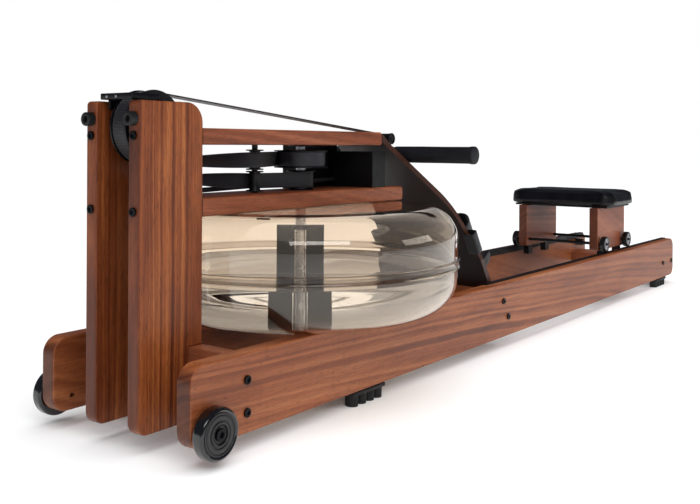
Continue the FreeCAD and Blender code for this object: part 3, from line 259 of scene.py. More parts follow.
def new_material(name, **values):
    """A material with one surface shader whose uniform values are set on it."""
    material = bpy.data.materials.new(name)
    material.use_nodes = True
    tree = material.node_tree
    tree.nodes.clear()
    shader = add(tree, "BsdfPrincipled", {key.replace("_", " "): value for key, value in values.items()})
    add(tree, "OutputMaterial", {"Surface": shader.outputs[0]})
    return material, tree, shader


def bump(tree, shader, height, depth, strength=1.0):
    """Raise the surface by a height from 0 to 1, times a depth in metres."""
    relief = add(tree, "Bump", {"Height": height, "Distance": depth, "Strength": strength})
    tree.links.new(relief.outputs[0], shader.inputs["Normal"])


# ---------------------------------------------------------------- walnut

GRAIN_TURNS = {"X": (0, 0, 0), "Y": (0, 0, -math.pi / 2), "Z": (0, math.pi / 2, 0),
               "SLOPE": (0, math.radians(50), 0)}
GRAIN_AXES = {"X": (1, 0, 0), "Y": (0, 1, 0), "Z": (0, 0, 1), "SLOPE": (-0.64, 0, 0.77)}
POST_TONES = ((0.28, "#2E140A"), (0.43, "#662F15"), (0.55, "#8B4A24"), (0.72, "#AE6B39"))
RAIL_TONES = ((0.28, "#431F10"), (0.43, "#793F22"), (0.56, "#955632"), (0.74, "#AF724A"))
DECK_TONES = ((0.26, "#482012"), (0.43, "#7A4027"), (0.57, "#905236"), (0.76, "#A96D4A"))
# the footboard's tones are darker than the other boards' walnut: painted shade for the shadow the board
# stands in
FOOTBOARD_SHADE_TONES = ((0.2, "#21100B"), (0.45, "#3B2118"), (0.6, "#4A2B20"), (0.8, "#5E3D2F"))
END_GRAIN = "#8C7A70"
# nearly black painted shade for the footboard's shadowed underside
UNDERSIDE_SHADE_BLACK = "#0B0607"


def figure(tree, space, along, across, detail, roughness=0.5):
    """Noise with its cells stretched along the grain: along and across are cells in a metre."""
    stretched = add(tree, "VectorMath", {0: space, 1: (along, across, across)}, operation="MULTIPLY")
    return add(tree, "TexNoise", {"Vector": stretched.outputs[0], "Scale": 1.0, "Detail": detail,
                                  "Roughness": roughness})


def oiled_walnut(name, along, heart, tones, stripe=8.0, shade_side=None):
    """Planed walnut, oiled: growth-ring stripes, long fibres, short dark pores, dull end grain.

    along is the grain's direction, heart the tree's middle in metres off the board and stripe
    the usual width of a growth stripe in millimetres. The side facing a given normal gets painted shade,
    nearly black."""
    material, tree, shader = new_material(name, Specular_IOR_Level=0.3, Coat_Weight=0.06,
                                          Coat_Roughness=0.3)
    seat = add(tree, "TexCoord")
    grain = add(tree, "Mapping", {"Vector": seat.outputs["Object"], "Rotation": GRAIN_TURNS[along]})
    # slow waves of the stem, a few centimetres across and far longer along it
    wave = figure(tree, grain.outputs[0], 2.4, 16, 2.0)
    drift = add(tree, "VectorMath", {0: wave.outputs["Color"], 1: (0.02, 0.02, 0.02), 2: grain.outputs[0]},
                operation="MULTIPLY_ADD")
    flat = add(tree, "VectorMath", {0: drift.outputs[0], 1: (0.05, 1, 1), 2: heart},
               operation="MULTIPLY_ADD")
    ring = add(tree, "VectorMath", {0: flat.outputs[0]}, operation="LENGTH")
    stripes = add(tree, "TexNoise", {"W": ring.outputs["Value"], "Scale": 1 / (stripe * MM), "Detail": 3.0,
                                     "Roughness": 0.5}, noise_dimensions="1D")
    # the stripes fade in and out along the board
    veil = figure(tree, grain.outputs[0], 4, 22, 3.0, 0.6)
    tone = add(tree, "Mix", {0: 0.42, 2: stripes.outputs[0], 3: veil.outputs[0]})
    colour = add(tree, "ValToRGB", {0: tone.outputs[0]}, stops=tones)
    # broad patches of darker heartwood
    patch = figure(tree, grain.outputs[0], 1.3, 9, 1.0)
    patch_share = add(tree, "MapRange", {"Value": patch.outputs[0], "From Min": 0.45, "From Max": 0.75,
                                         "To Min": 0.0, "To Max": 0.55})
    shaded = add(tree, "Mix", {0: patch_share.outputs[0], 6: colour.outputs[0], 7: linear(tones[1][1])},
                 data_type="RGBA")
    # fibres about 1 mm wide and 80 mm long
    fibre = figure(tree, drift.outputs[0], 12, 900, 3.0)
    fibre_share = add(tree, "MapRange", {"Value": fibre.outputs[0], "From Min": 0.3, "From Max": 0.7,
                                         "To Min": 0.72, "To Max": 1.16})
    fibred = add(tree, "Mix", {0: 1.0, 6: shaded.outputs[2], 7: fibre_share.outputs[0]},
                 data_type="RGBA", blend_type="MULTIPLY")
    # pores, drawn 1 mm wide so that they show
    pore = figure(tree, grain.outputs[0], 70, 1100, 0.0)
    pore_share = add(tree, "MapRange", {"Value": pore.outputs[0], "From Min": 0.27, "From Max": 0.36,
                                        "To Min": 0.55, "To Max": 0.0})
    pored = add(tree, "Mix", {0: pore_share.outputs[0], 6: fibred.outputs[2], 7: linear(tones[0][1])},
                data_type="RGBA")
    # end grain drinks the oil and turns grey brown
    facing = add(tree, "VectorMath", {0: seat.outputs["Normal"], 1: GRAIN_AXES[along]},
                 operation="DOT_PRODUCT")
    faces_end = add(tree, "Math", {0: facing.outputs["Value"]}, operation="ABSOLUTE")
    end_share = add(tree, "MapRange", {"Value": faces_end.outputs[0], "From Min": 0.62, "From Max": 0.95,
                                       "To Min": 0.0, "To Max": 0.8})
    ended = add(tree, "Mix", {0: end_share.outputs[0], 6: pored.outputs[2], 7: linear(END_GRAIN)},
                data_type="RGBA", blend_type="MULTIPLY")
    finished = ended.outputs[2]
    if shade_side:
        # painted shade: the side facing the given normal, away from the light, is drawn nearly black for the
        # shadow under it
        shade_facing = add(tree, "VectorMath", {0: seat.outputs["Normal"], 1: shade_side},
                     operation="DOT_PRODUCT")
        shade_share = add(tree, "MapRange", {"Value": shade_facing.outputs["Value"], "From Min": 0.6,
                                              "From Max": 0.8, "To Min": 0.0, "To Max": 0.88})
        shade_painted = add(tree, "Mix", {0: shade_share.outputs[0], 6: finished, 7: linear(UNDERSIDE_SHADE_BLACK)},
                     data_type="RGBA")
        finished = shade_painted.outputs[2]
    tree.links.new(finished, shader.inputs["Base Color"])
    dull = add(tree, "MapRange", {"Value": fibre.outputs[0], "To Min": 0.36, "To Max": 0.5})
    tree.links.new(dull.outputs[0], shader.inputs["Roughness"])
    bump(tree, shader, add(tree, "Math", {0: fibre.outputs[0], 1: pore_share.outputs[0]},
                           operation="SUBTRACT").outputs[0], 0.12 * MM, 0.5)
    return material


# ---------------------------------------------------------------- other materials

def grained(name, colour, accent, grit, roughness, depth, values=None):
    """A solid finish with a fine grain of the given grit in millimetres, in two close colours."""
    material, tree, shader = new_material(name, **(values or {}))
    seat = add(tree, "TexCoord")
    grain = add(tree, "TexNoise", {"Vector": seat.outputs["Object"], "Scale": 1 / (grit * MM), "Detail": 3.0})
    blotch = add(tree, "TexNoise", {"Vector": seat.outputs["Object"], "Scale": 1 / (grit * 22 * MM),
                                    "Detail": 2.0})
    share = add(tree, "Math", {0: grain.outputs[0], 1: blotch.outputs[0]}, operation="MULTIPLY")
    tone = add(tree, "ValToRGB", {0: share.outputs[0]}, stops=((0.15, colour), (0.42, accent)))
    tree.links.new(tone.outputs[0], shader.inputs["Base Color"])
    dull = add(tree, "MapRange", {"Value": blotch.outputs[0], "From Min": 0.3, "From Max": 0.7,
                                  "To Min": roughness[0], "To Max": roughness[1]})
    tree.links.new(dull.outputs[0], shader.inputs["Roughness"])
    bump(tree, shader, grain.outputs[0], depth * MM, 0.6)
    return material


def clear_moulding(name, tint, shadow_tint, roughness, ior):
    """A clear or tinted transparent piece that lets soft light through to what it holds."""
    material, tree, shader = new_material(name, Base_Color=linear(tint), Roughness=roughness, IOR=ior,
                                          Transmission_Weight=1.0)
    passing = add(tree, "BsdfTransparent", {"Color": linear(shadow_tint)})
    ray = add(tree, "LightPath")
    both = add(tree, "MixShader", {0: ray.outputs["Is Shadow Ray"], 1: shader.outputs[0],
                                   2: passing.outputs[0]})
    output = next(node for node in tree.nodes if node.type == "OUTPUT_MATERIAL")
    tree.links.new(both.outputs[0], output.inputs["Surface"])
    return material


# a wave texture of scale 1 has its bands this far apart, in metres
WAVE_STEP = 0.314


def woven_nylon(name, colour, accent):
    """Flat nylon webbing: ribs along it, picks across it. Its map is in metres along and across."""
    material, tree, shader = new_material(name, Roughness=0.55, Sheen_Weight=0.3, Sheen_Roughness=0.35)
    cloth = add(tree, "UVMap", uv_map="cloth")
    # ribs 1.8 mm and picks 2.4 mm apart, drawn twice as coarse as the real ones so that they show
    rib_scale = WAVE_STEP / (1.8 * MM) / 2
    pick_scale = WAVE_STEP / (2.4 * MM) / 2
    ribs = add(tree, "TexWave", {"Vector": cloth.outputs[0], "Scale": rib_scale, "Distortion": 0.3,
                                 "Detail": 1.0}, bands_direction="Y")
    picks = add(tree, "TexWave", {"Vector": cloth.outputs[0], "Scale": pick_scale, "Distortion": 1.5,
                                  "Detail": 2.0, "Detail Scale": 2.0}, bands_direction="X")
    mixed = add(tree, "Math", {0: ribs.outputs[1], 1: picks.outputs[1]}, operation="MULTIPLY")
    wear = add(tree, "TexNoise", {"Vector": cloth.outputs[0], "Scale": 1 / (30 * MM), "Detail": 3.0})
    worn = add(tree, "Math", {0: mixed.outputs[0], 1: wear.outputs[0]}, operation="MULTIPLY")
    tone = add(tree, "ValToRGB", {0: worn.outputs[0]}, stops=((0.05, colour), (0.5, accent)))
    tree.links.new(tone.outputs[0], shader.inputs["Base Color"])
    bump(tree, shader, mixed.outputs[0], 0.3 * MM, 0.7)
    return material


def upholstery_vinyl(name, colour, accent):
    """Leather-grain vinyl: pebbles about 1.8 mm across, a soft gloss and faint creases."""
    material, tree, shader = new_material(name, Specular_IOR_Level=0.26, Coat_Weight=0.08,
                                          Coat_Roughness=0.25)
    seat = add(tree, "TexCoord")
    pebble = add(tree, "TexVoronoi", {"Vector": seat.outputs["Object"], "Scale": 1 / (1.8 * MM),
                                      "Randomness": 0.9})
    crease = add(tree, "TexNoise", {"Vector": seat.outputs["Object"], "Scale": 1 / (28 * MM), "Detail": 5.0,
                                    "Roughness": 0.6})
    tone = add(tree, "ValToRGB", {0: crease.outputs[0]}, stops=((0.35, colour), (0.7, accent)))
    tree.links.new(tone.outputs[0], shader.inputs["Base Color"])
    dull = add(tree, "MapRange", {"Value": crease.outputs[0], "From Min": 0.35, "From Max": 0.65,
                                  "To Min": 0.3, "To Max": 0.42})
    tree.links.new(dull.outputs[0], shader.inputs["Roughness"])
    height = add(tree, "Math", {0: crease.outputs[0], 1: 1.2, 2: pebble.outputs[0]}, operation="MULTIPLY_ADD")
    bump(tree, shader, height.outputs[0], 0.12 * MM, 0.5)
    return material


WALNUT_POST = {side: oiled_walnut("oiled_walnut_%s_post" % side, "Z", heart, POST_TONES, stripe=9.0)
               for side, heart in (("left", (0.0, 0.11, 0.92)), ("right", (0.3, 0.16, 1.21)))}
WALNUT_RAIL = {side: oiled_walnut("oiled_walnut_%s_rail" % side, "X", heart, RAIL_TONES, stripe=7.0)
               for side, heart in (("left", (0.7, -0.09, 0.05)), ("right", (0.2, 0.21, 0.06)))}
WALNUT_DECK = oiled_walnut("oiled_walnut_decks", "X", (0.4, 0.03, -0.25), DECK_TONES, stripe=6.0)
WALNUT_CROSS = oiled_walnut("oiled_walnut_cross_boards", "Y", (0.1, 0.02, -0.05), DECK_TONES, stripe=7.0)
# footboard: darker tones and a nearly black underside, both painted shade
WALNUT_BOARD = oiled_walnut("oiled_walnut_footboard", "SLOPE", (0.1, 0.04, 0.12), FOOTBOARD_SHADE_TONES, stripe=6.0,
                            shade_side=(-0.77, 0, -0.64))
WALNUT_LEG = {side: oiled_walnut("oiled_walnut_%s_seat_leg" % side, "X", heart, DECK_TONES, stripe=7.0)
              for side, heart in (("left", (0.1, -0.02, -0.14)), ("right", (0.9, 0.2, -0.1)))}
# smoked polycarbonate, blown and trimmed: clean gloss, brown-grey where walls overlap
SMOKED = clear_moulding("smoked_polycarbonate", "#F6E9D9", "#F1E7DB", 0.0, 1.46)
CLEAR_SEAL = clear_moulding("clear_pvc_seal", "#CDBFAF", "#D8CFC3", 0.08, 1.4)
WATER = clear_moulding("water", "#B3BAC2", "#CCD3DA", 0.0, 1.333)
BLACK_ABS = grained("moulded_black_abs", "#040406", "#0B0B0F", 0.8, (0.34, 0.46), 0.03,
                    {"Specular_IOR_Level": 0.3})
GLOSS_ABS = grained("polished_black_abs", "#040506", "#0B0C0F", 0.9, (0.16, 0.26), 0.02,
                    {"Coat_Weight": 0.5, "Coat_Roughness": 0.08})
WHEEL_FACE = grained("charcoal_moulded_nylon", "#141315", "#1F1C1E", 0.7, (0.36, 0.5), 0.03)
RUBBER = grained("matt_black_rubber", "#050506", "#0F0F10", 0.6, (0.55, 0.7), 0.05)
TYRE = grained("black_urethane_tyre", "#050607", "#0C0D0E", 0.7, (0.28, 0.4), 0.03)
FOAM = grained("dense_black_grip_foam", "#08090D", "#15161C", 0.9, (0.6, 0.75), 0.16)
VINYL = upholstery_vinyl("black_upholstery_vinyl", "#050507", "#0D0D12")
BLACK_OXIDE = grained("black_oxide_steel", "#101012", "#26262A", 0.5, (0.3, 0.42), 0.02, {"Metallic": 0.9})
BRIGHT_STEEL = grained("turned_zinc_steel", "#8F9093", "#C4C5C8", 0.5, (0.22, 0.34), 0.02, {"Metallic": 1.0})
BLACK_POWDER = grained("black_powder_coat", "#060607", "#0E0E10", 0.7, (0.42, 0.55), 0.05,
                       {"Specular_IOR_Level": 0.3})
WEBBING = woven_nylon("black_nylon_webbing", "#08080C", "#20212A")
# the strap's edges, seen as fine rings where it is wound on a reel
WOUND = grained("wound_nylon_webbing", "#0D0C11", "#2C2A33", 1.4, (0.42, 0.55), 0.12)
BUNGEE_SLEEVE = grained("braided_bungee_sleeve", "#08080A", "#2A2A30", 1.6, (0.6, 0.75), 0.25)


def finish_nodes(material, *nodes):
    """Give frame nodes whose shape is right a finished material."""
    for node in nodes:
        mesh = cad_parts[node].data
        mesh.materials.clear()
        mesh.materials.append(material)


# ---------------------------------------------------------------- frame boards

for side in ("left", "right"):
    finish_nodes(WALNUT_POST[side], side + "_front_post")
    finish_nodes(WALNUT_RAIL[side], side + "_rail")
    finish_nodes(WALNUT_LEG[side], side + "_seat_leg")
    finish_nodes(BLACK_POWDER, side + "_track")
finish_nodes(WALNUT_DECK, "upper_deck", "lower_deck")
finish_nodes(WALNUT_CROSS, "front_spacer", "rear_spacer", "foot_spacer", "tank_cradle")
finish_nodes(WALNUT_BOARD, "footboard")
finish_nodes(BLACK_POWDER, "seat_plate", "bungee_anchor", "seat_axles", "drive_axles", "seat_guides")
finish_nodes(BRIGHT_STEEL, "drive_shaft")
finish_nodes(RUBBER, "seat_stops")
finish_nodes(BLACK_ABS, "paddle", "shaft_bearings")


# ---------------------------------------------------------------- tank

TANK = middle("tank_upper_shell")
TANK_RADIUS = size("tank_upper_shell").x / 2 / MM
TANK_WALL = 4.0
SHELL_STEPS = 256
# bore radius of what turns on the drive shaft, and of what is clamped on the handle's bar
SHAFT_BORE = 9.1
BAR_BORE = 12.05


def lower_tank_shell():
    base, seam = low("tank_lower_shell").z / MM, high("tank_lower_shell").z / MM
    bend = 65.0
    outer = [(0, base), *arc(TANK_RADIUS - bend, base + bend, bend, -90, 0, 14), (TANK_RADIUS, seam)]
    inner = [(TANK_RADIUS - TANK_WALL, seam),
             *arc(TANK_RADIUS - bend, base + bend, bend - TANK_WALL, 0, -90, 14), (0, base + TANK_WALL)]
    shell = turned("tank_bottom_shell", outer + inner, (TANK.x, TANK.y, 0), SMOKED, smooth=50,
                   steps=SHELL_STEPS)
    fit(shell, "frame", "tank_shell", "tank_lower_shell")


def upper_tank_shell():
    seam, top = low("tank_upper_shell").z / MM, high("tank_upper_shell").z / MM
    bend = 56.0
    outer = [(TANK_RADIUS, seam), *arc(TANK_RADIUS - bend, top - bend, bend, 0, 90, 14), (SHAFT_BORE, top)]
    inner = [(SHAFT_BORE, top - TANK_WALL),
             *arc(TANK_RADIUS - bend, top - bend, bend - TANK_WALL, 90, 0, 14),
             (TANK_RADIUS - TANK_WALL, seam), (TANK_RADIUS, seam)]
    shell = turned("tank_top_shell", outer + inner, (TANK.x, TANK.y, 0), SMOKED, smooth=50,
                   steps=SHELL_STEPS)
    fit(shell, "frame", "tank_shell", "tank_upper_shell")


def tank_seal():
    """The band that joins the shells, with a fine bead at each edge."""
    base, top = low("tank_seal_ring").z / MM, high("tank_seal_ring").z / MM
    outside = size("tank_seal_ring").x / 2 / MM
    inside = TANK_RADIUS - TANK_WALL + 0.2
    bead = 1.2
    outline = [(inside, base + 0.1), (outside - 2.2, base + 0.1),
               *arc(outside - bead, base + bead + 0.1, bead, -90, 60, 5), (outside - 1.6, (base + top) / 2),
               *arc(outside - bead, top - bead - 0.1, bead, -60, 90, 5), (outside - 2.2, top - 0.1),
               (inside, top - 0.1), (inside, base + 0.1)]
    ring = turned("tank_seal_band", outline, (TANK.x, TANK.y, 0), CLEAR_SEAL, steps=SHELL_STEPS)
    fit(ring, "frame", "tank_shell", "tank_seal_ring")


def tank_water():
    """The water's body, with the small rise that it makes against the shell."""
    base, level = low("water").z / MM, high("water").z / MM
    outside = size("water").x / 2 / MM
    bend = 61.0
    outline = [(0, base), *arc(outside - bend, base + bend, bend, -90, 0, 14), (outside, level - 0.2),
               (outside - 1.0, level - 1.2), (outside - 4.0, level - 2.0), (0, level - 2.2)]
    body = turned("tank_water", outline, (TANK.x, TANK.y, 0), WATER, smooth=50, steps=SHELL_STEPS)
    fit(body, "frame", "water", "water")


def filler_plug():
    """A rubber plug with a finger knob."""
    at = middle("tank_plug")
    base = high("tank_upper_shell").z
    outline = [(0, -8), (12, -8), (13.5, -6), (15.5, 0.4), (19, 0.4), *arc(17.6, 3.2, 1.4, 0, 90, 4),
               (11, 5), *arc(8, 11.5, 1.5, 0, 90, 4), (0, 12.2)]
    plug = turned("filler_plug", outline, (at.x, at.y, base), RUBBER, smooth=35)
    fit(plug, "tank_plug", "rubber", "tank_plug")


lower_tank_shell()
upper_tank_shell()
tank_seal()
tank_water()
filler_plug()


# ---------------------------------------------------------------- wheels

def hex_bolt_head(name, radius, height, socket):
    """A button-head socket screw: head from z 0 up, with a six-sided recess, in millimetres."""
    select_none()
    bpy.ops.mesh.primitive_cylinder_add(vertices=48, radius=radius * MM, depth=height * MM,
                                        location=(0, 0, height * MM / 2))
    head = bpy.context.object
    head.name = name
    bpy.ops.object.transform_apply(location=True, rotation=False, scale=False)
    pick(head, "FACE", lambda face: face.normal.z > 0.9)
    bpy.ops.mesh.inset(thickness=(radius - socket) * MM)
    bpy.ops.mesh.extrude_region_move(TRANSFORM_OT_translate={"value": (0, 0, -0.7 * height * MM)})
    bpy.ops.object.mode_set(mode="OBJECT")
    # draw the recess's points in from their circle to the flats of its six sides
    sixth = math.pi / 3
    for point in head.data.vertices:
        spot = Vector((point.co.x, point.co.y))
        if spot.length < (socket + 0.05) * MM:
            turn = math.atan2(spot.y, spot.x)
            flat = math.cos(sixth / 2) / math.cos((turn % sixth) - sixth / 2)
            point.co.x *= flat
            point.co.y *= flat
    round_edges(head, 0.22 * height * MM, 3, 50)
    return head


def inner_face(node, direction):
    """The middle of a wheel's inner face, which is where its outline starts."""
    return Vector((middle(node).x, low(node).y if direction == "+Y" else high(node).y, middle(node).z))


def transport_wheel(side, direction):
    """A moulded wheel with a round shouldered tread and rings turned in its face."""
    node = side + "_transport_wheel"
    radius = size(node).z / 2 / MM
    width = size(node).y / MM
    bore = 4.2
    shoulder = 5.0
    flat = radius - shoulder
    face = width - 0.4
    tread = [(bore, 0.2), (flat, 0.2), *arc(flat, shoulder + 0.2, shoulder, -90, 0, 8),
             *arc(flat, width - shoulder, shoulder, 0, 80, 8), (flat - 1.5, width - 1.6),
             (flat - 1.5, width - 6), (bore, width - 6), (bore, 0.2)]
    disc = [(bore, 2), (radius - 6.7, 2), (radius - 6.7, face - 1.0), (radius - 7.2, face - 0.5),
            (27.2, face - 0.5), (26.8, face - 1.8), (25.2, face - 1.8), (24.8, face - 0.7),
            (19.5, face - 0.7), (18.8, face - 2.2), (17.0, face - 2.2), (16.4, face), (14.0, face),
            (13.2, face - 3.2), (11.6, face - 3.2), (11.0, face - 2.0), (bore, face - 2.0), (bore, 2)]
    at = inner_face(node, direction)
    rim = turned(side + "_wheel_tread", tread, at, GLOSS_ABS, direction, steps=96)
    hub = lathe(side + "_wheel_face", disc)
    round_edges(hub, 0.35 * MM, 2, 35)
    hub = settle(stand(hub, at, direction), WHEEL_FACE, 40)
    wheel = join(side + "_roller", [rim, hub])
    fit(wheel, node, "wheel_rubber", node)


for side, direction in (("left", "+Y"), ("right", "-Y")):
    transport_wheel(side, direction)


def seat_wheel(side, end, direction):
    """A urethane tyre on a bright ball bearing."""
    node = "%s_%s_seat_wheel" % (side, end)
    radius = size(node).z / 2 / MM
    width = size(node).y / MM
    at = inner_face(node, direction)
    bore, cage_radius, corner = 4.1, 14.4, 2.5
    tyre = [(14.5, 0.6), (radius - corner, 0.4), *arc(radius - corner, corner + 0.4, corner, -90, 0, 6),
            *arc(radius - corner, width - corner - 0.4, corner, 0, 90, 6), (14.5, width - 0.6), (14.5, 0.6)]
    cage = [(bore, 1), (cage_radius, 1), (cage_radius, width - 1.2), (12.0, width - 1.2),
            (11.6, width - 2.4), (9.0, width - 2.4), (8.6, width - 0.8), (bore, width - 0.8), (bore, 1)]
    outer = turned(node + "_tyre", tyre, at, TYRE, direction, steps=64)
    inner = turned(node + "_bearing", cage, at, BRIGHT_STEEL, direction, smooth=30, steps=64)
    wheel = join(node + "_tyred", [outer, inner])
    fit(wheel, node, "wheel_rubber", node)


for side, direction in (("left", "+Y"), ("right", "-Y")):
    for end in ("front", "rear"):
        seat_wheel(side, end, direction)


# ---------------------------------------------------------------- bolts and bumpers

def loose_boxes(node):
    """The boxes of the separate solids of a frame node, as (lowest corner, highest corner)."""
    select_none()
    pattern = copy(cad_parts[node], node + "_pattern")
    only(pattern)
    bpy.ops.object.mode_set(mode="EDIT")
    bpy.ops.mesh.select_all(action="SELECT")
    bpy.ops.mesh.remove_doubles(threshold=0.01 * MM)
    bpy.ops.mesh.separate(type="LOOSE")
    bpy.ops.object.mode_set(mode="OBJECT")
    solids = [piece for piece in bpy.context.selected_objects if piece.type == "MESH"]
    boxes = []
    for solid in solids:
        places = [point.co for point in solid.data.vertices]
        boxes.append((Vector([min(place[k] for place in places) for k in range(3)]),
                      Vector([max(place[k] for place in places) for k in range(3)])))
    drop(*solids)
    return sorted(boxes, key=lambda corners: [round(value, 4) for value in corners[0]])


def bolt_heads(name, node, pattern):
    """Heads for every bolt of a frame node, each on the outer end of its own bolt."""
    heads = []
    for number, (corner, far_corner) in enumerate(loose_boxes(node)):
        centre = (corner + far_corner) / 2
        span = far_corner - corner
        if span.x > span.y:
            at, direction = Vector((corner.x + pattern.dimensions.z, centre.y, centre.z)), "-X"
        else:
            out = math.copysign(1, centre.y)
            end = far_corner.y if out > 0 else corner.y
            at = Vector((centre.x, end - out * pattern.dimensions.z, centre.z))
            direction = "+Y" if out > 0 else "-Y"
        heads.append(settle(stand(copy(pattern, "%s_%d" % (name, number)), at, direction), BLACK_OXIDE, 40))
    fit(join(name, heads), "frame", "black_steel", node)


def fasteners():
    small = hex_bolt_head("bolt_pattern", 6.5, 3.0, 3.4)
    large = hex_bolt_head("wheel_bolt_pattern", 9.0, 4.5, 4.5)
    bpy.context.view_layer.update()
    bolt_heads("socket_bolts", "frame_bolts", small)
    bolt_heads("wheel_bolt_heads", "wheel_bolts", large)
    drop(small, large)


def post_bumpers():
    """Turned rubber bumpers with a countersunk screw hole, on the posts' fronts."""
    bumpers = []
    for number, (corner, far_corner) in enumerate(loose_boxes("post_bumpers")):
        centre = (corner + far_corner) / 2
        length = (far_corner.x - corner.x) / MM
        radius = (far_corner.z - corner.z) / 2 / MM
        outline = [(0, 0), (radius - 0.6, 0), (radius, 0.6), *arc(radius - 2.2, length - 2.2, 2.2, 0, 90, 6),
                   (5.6, length), (4.6, length - 1.0), (4.4, length - 6.5), (0, length - 7)]
        at = (far_corner.x, centre.y, centre.z)
        bumpers.append(turned("bumper_%d" % number, outline, at, RUBBER, "-X"))
    fit(join("rubber_bumpers", bumpers), "frame", "rubber", "post_bumpers")


fasteners()
post_bumpers()


# ---------------------------------------------------------------- feet

def rubber_feet(node):
    """Four studs in a row under each rail, wider across it than along it, on a thin sole."""
    studs = []
    corner, far_corner = low(node), high(node)
    count = 4
    wide = 27 * MM
    sole_thick = 7 * MM
    pitch = (far_corner.x - corner.x) / count
    radius = pitch / 2 / MM - 0.9
    tall = (far_corner.z - corner.z) / MM - 5
    outline = [(0, 0), (radius - 3.0, 0), *arc(radius - 2.4, 1.4, 1.4, -90, 0, 5),
               (radius - 1.0, 4), (radius - 0.4, tall), (0, tall)]
    for start in (corner.y, far_corner.y - wide):
        sole = block("sole", (corner.x, start, far_corner.z - sole_thick),
                     (far_corner.x, start + wide, far_corner.z), 2 * MM)
        studs.append(settle(sole, RUBBER))
        for number in range(count):
            at = (corner.x + (number + 0.5) * pitch, start + wide / 2, corner.z)
            stud = stand(lathe("stud", outline, 40), at)
            stud.scale = (1, wide / 2 / (radius * MM) * 0.94, 1)
            studs.append(settle(stud, RUBBER, 45))
    fit(join(node + "_studs", studs), "frame", "rubber", node)


rubber_feet("front_feet")
rubber_feet("rear_feet")


# ---------------------------------------------------------------- strap drive

STRAP_WIDE = 26.0
STRAP_THICK = 1.9
# how far a strap stays off what it runs on
STRAP_PLAY = 0.3
DRIVE_SEAT, DRIVE_WOUND = 41.5, 43.4
RECOIL_SEAT, RECOIL_WOUND = 19.5, 21.4
ROLLER_SEAT = 9
PULLEY_FLANGE = 4.0


def turned_reel(name, node, seat, flange, wound):
    """A reel with rounded flanges and its strap wound on it, in a few uneven layers."""
    at = middle(node)
    bore = SHAFT_BORE
    half = size(node).z / 2 / MM
    edge = half - 2
    drum = [(bore, -half), (flange - 0.8, -half), (flange, -half + 0.8), (flange - 0.3, -edge),
            (seat, -edge), (seat, edge), (flange - 0.3, edge), (flange, half - 0.8), (flange - 0.8, half),
            (bore + 9, half), (bore + 8, half - 1.2), (bore + 3, half - 1.2), (bore + 2, half),
            (bore, half), (bore, -half)]
    web = edge - 0.7
    coil = [(seat - 0.5, -web), (wound - 0.8, -web), (wound - 0.1, -web + 0.9), (wound, -web * 0.3),
            (wound - 0.15, web * 0.2), (wound, web - 0.9), (wound - 0.8, web), (seat - 0.5, web),
            (seat - 0.5, -web)]
    pieces = [turned(name + "_drum", drum, at, BLACK_ABS, smooth=35, steps=72),
              turned(name + "_wound", coil, at, WOUND, smooth=35, steps=72)]
    fit(join(name, pieces), "reel", "black_plastic", node)


def spoked_pulley():
    """The front pulley: two thin flanges, a rim between them and a hub, with holes round its web."""
    node = "front_pulley"
    bore = 5.2
    rim = size(node).x / 2 / MM
    half = size(node).y / 2 / MM
    seat = rim - PULLEY_FLANGE
    inside = half - 3
    outline = [(bore, -half), (13, -half), (14, -half + 1), (14.5, -4), (seat - 11, -4),
               (seat - 10, -half + 0.6), (seat - 9.4, -half), (rim - 0.7, -half), (rim, -half + 0.7),
               (rim - 0.2, -inside), (seat, -inside), (seat, inside), (rim - 0.2, inside),
               (rim, half - 0.7), (rim - 0.7, half), (seat - 9.4, half), (seat - 10, half - 0.6),
               (seat - 11, 4), (14.5, 4), (14, half - 1), (13, half), (bore, half), (bore, -half)]
    pulley = lathe("strap_pulley", outline, 128)
    count, ring = 6, 26 * MM
    drills = []
    for number in range(count):
        turn = 2 * math.pi * number / count + math.radians(15)
        select_none()
        bpy.ops.mesh.primitive_cylinder_add(vertices=40, radius=6.5 * MM, depth=40 * MM,
                                            location=(ring * math.cos(turn), ring * math.sin(turn), 0))
        drills.append(bpy.context.object)
    drill = join("drills", drills)
    modify(pulley, "BOOLEAN", operation="DIFFERENCE", object=drill, solver="EXACT")
    drop(drill)
    settle(stand(pulley, middle(node), "+Y"), BLACK_ABS)
    fit(pulley, "front_pulley", "black_plastic", node)


def small_roller(name, node, direction, bore):
    """A waisted strap roller with rounded flanges."""
    across = size(node)
    half = (across.y if direction == "+Y" else across.z) / 2 / MM
    rim = across.x / 2 / MM
    seat = ROLLER_SEAT
    outline = [(bore, -half), (rim - 0.7, -half), (rim, -half + 0.7), (rim - 0.3, -half + 2),
               (seat + 0.6, -half + 2.6), (seat, -half + 4), (seat, half - 4), (seat + 0.6, half - 2.6),
               (rim - 0.3, half - 2), (rim, half - 0.7), (rim - 0.7, half), (bore + 3.2, half),
               (bore + 2.6, half - 0.8), (bore, half - 0.8), (bore, -half)]
    roller = turned(name, outline, middle(node), BLACK_ABS, direction, steps=56)
    fit(roller, node, "black_plastic", node)


turned_reel("drive_reel_wound", "drive_reel", DRIVE_SEAT, 48, DRIVE_WOUND)
turned_reel("recoil_reel_wound", "recoil_reel", RECOIL_SEAT, 26, RECOIL_WOUND)
spoked_pulley()
small_roller("recoil_roller", "recoil_pulley", "+Y", 4.1)
small_roller("upper_guide", "upper_guide_roller", "+Z", 5.1)
small_roller("lower_guide", "lower_guide_roller", "+Z", 5.1)


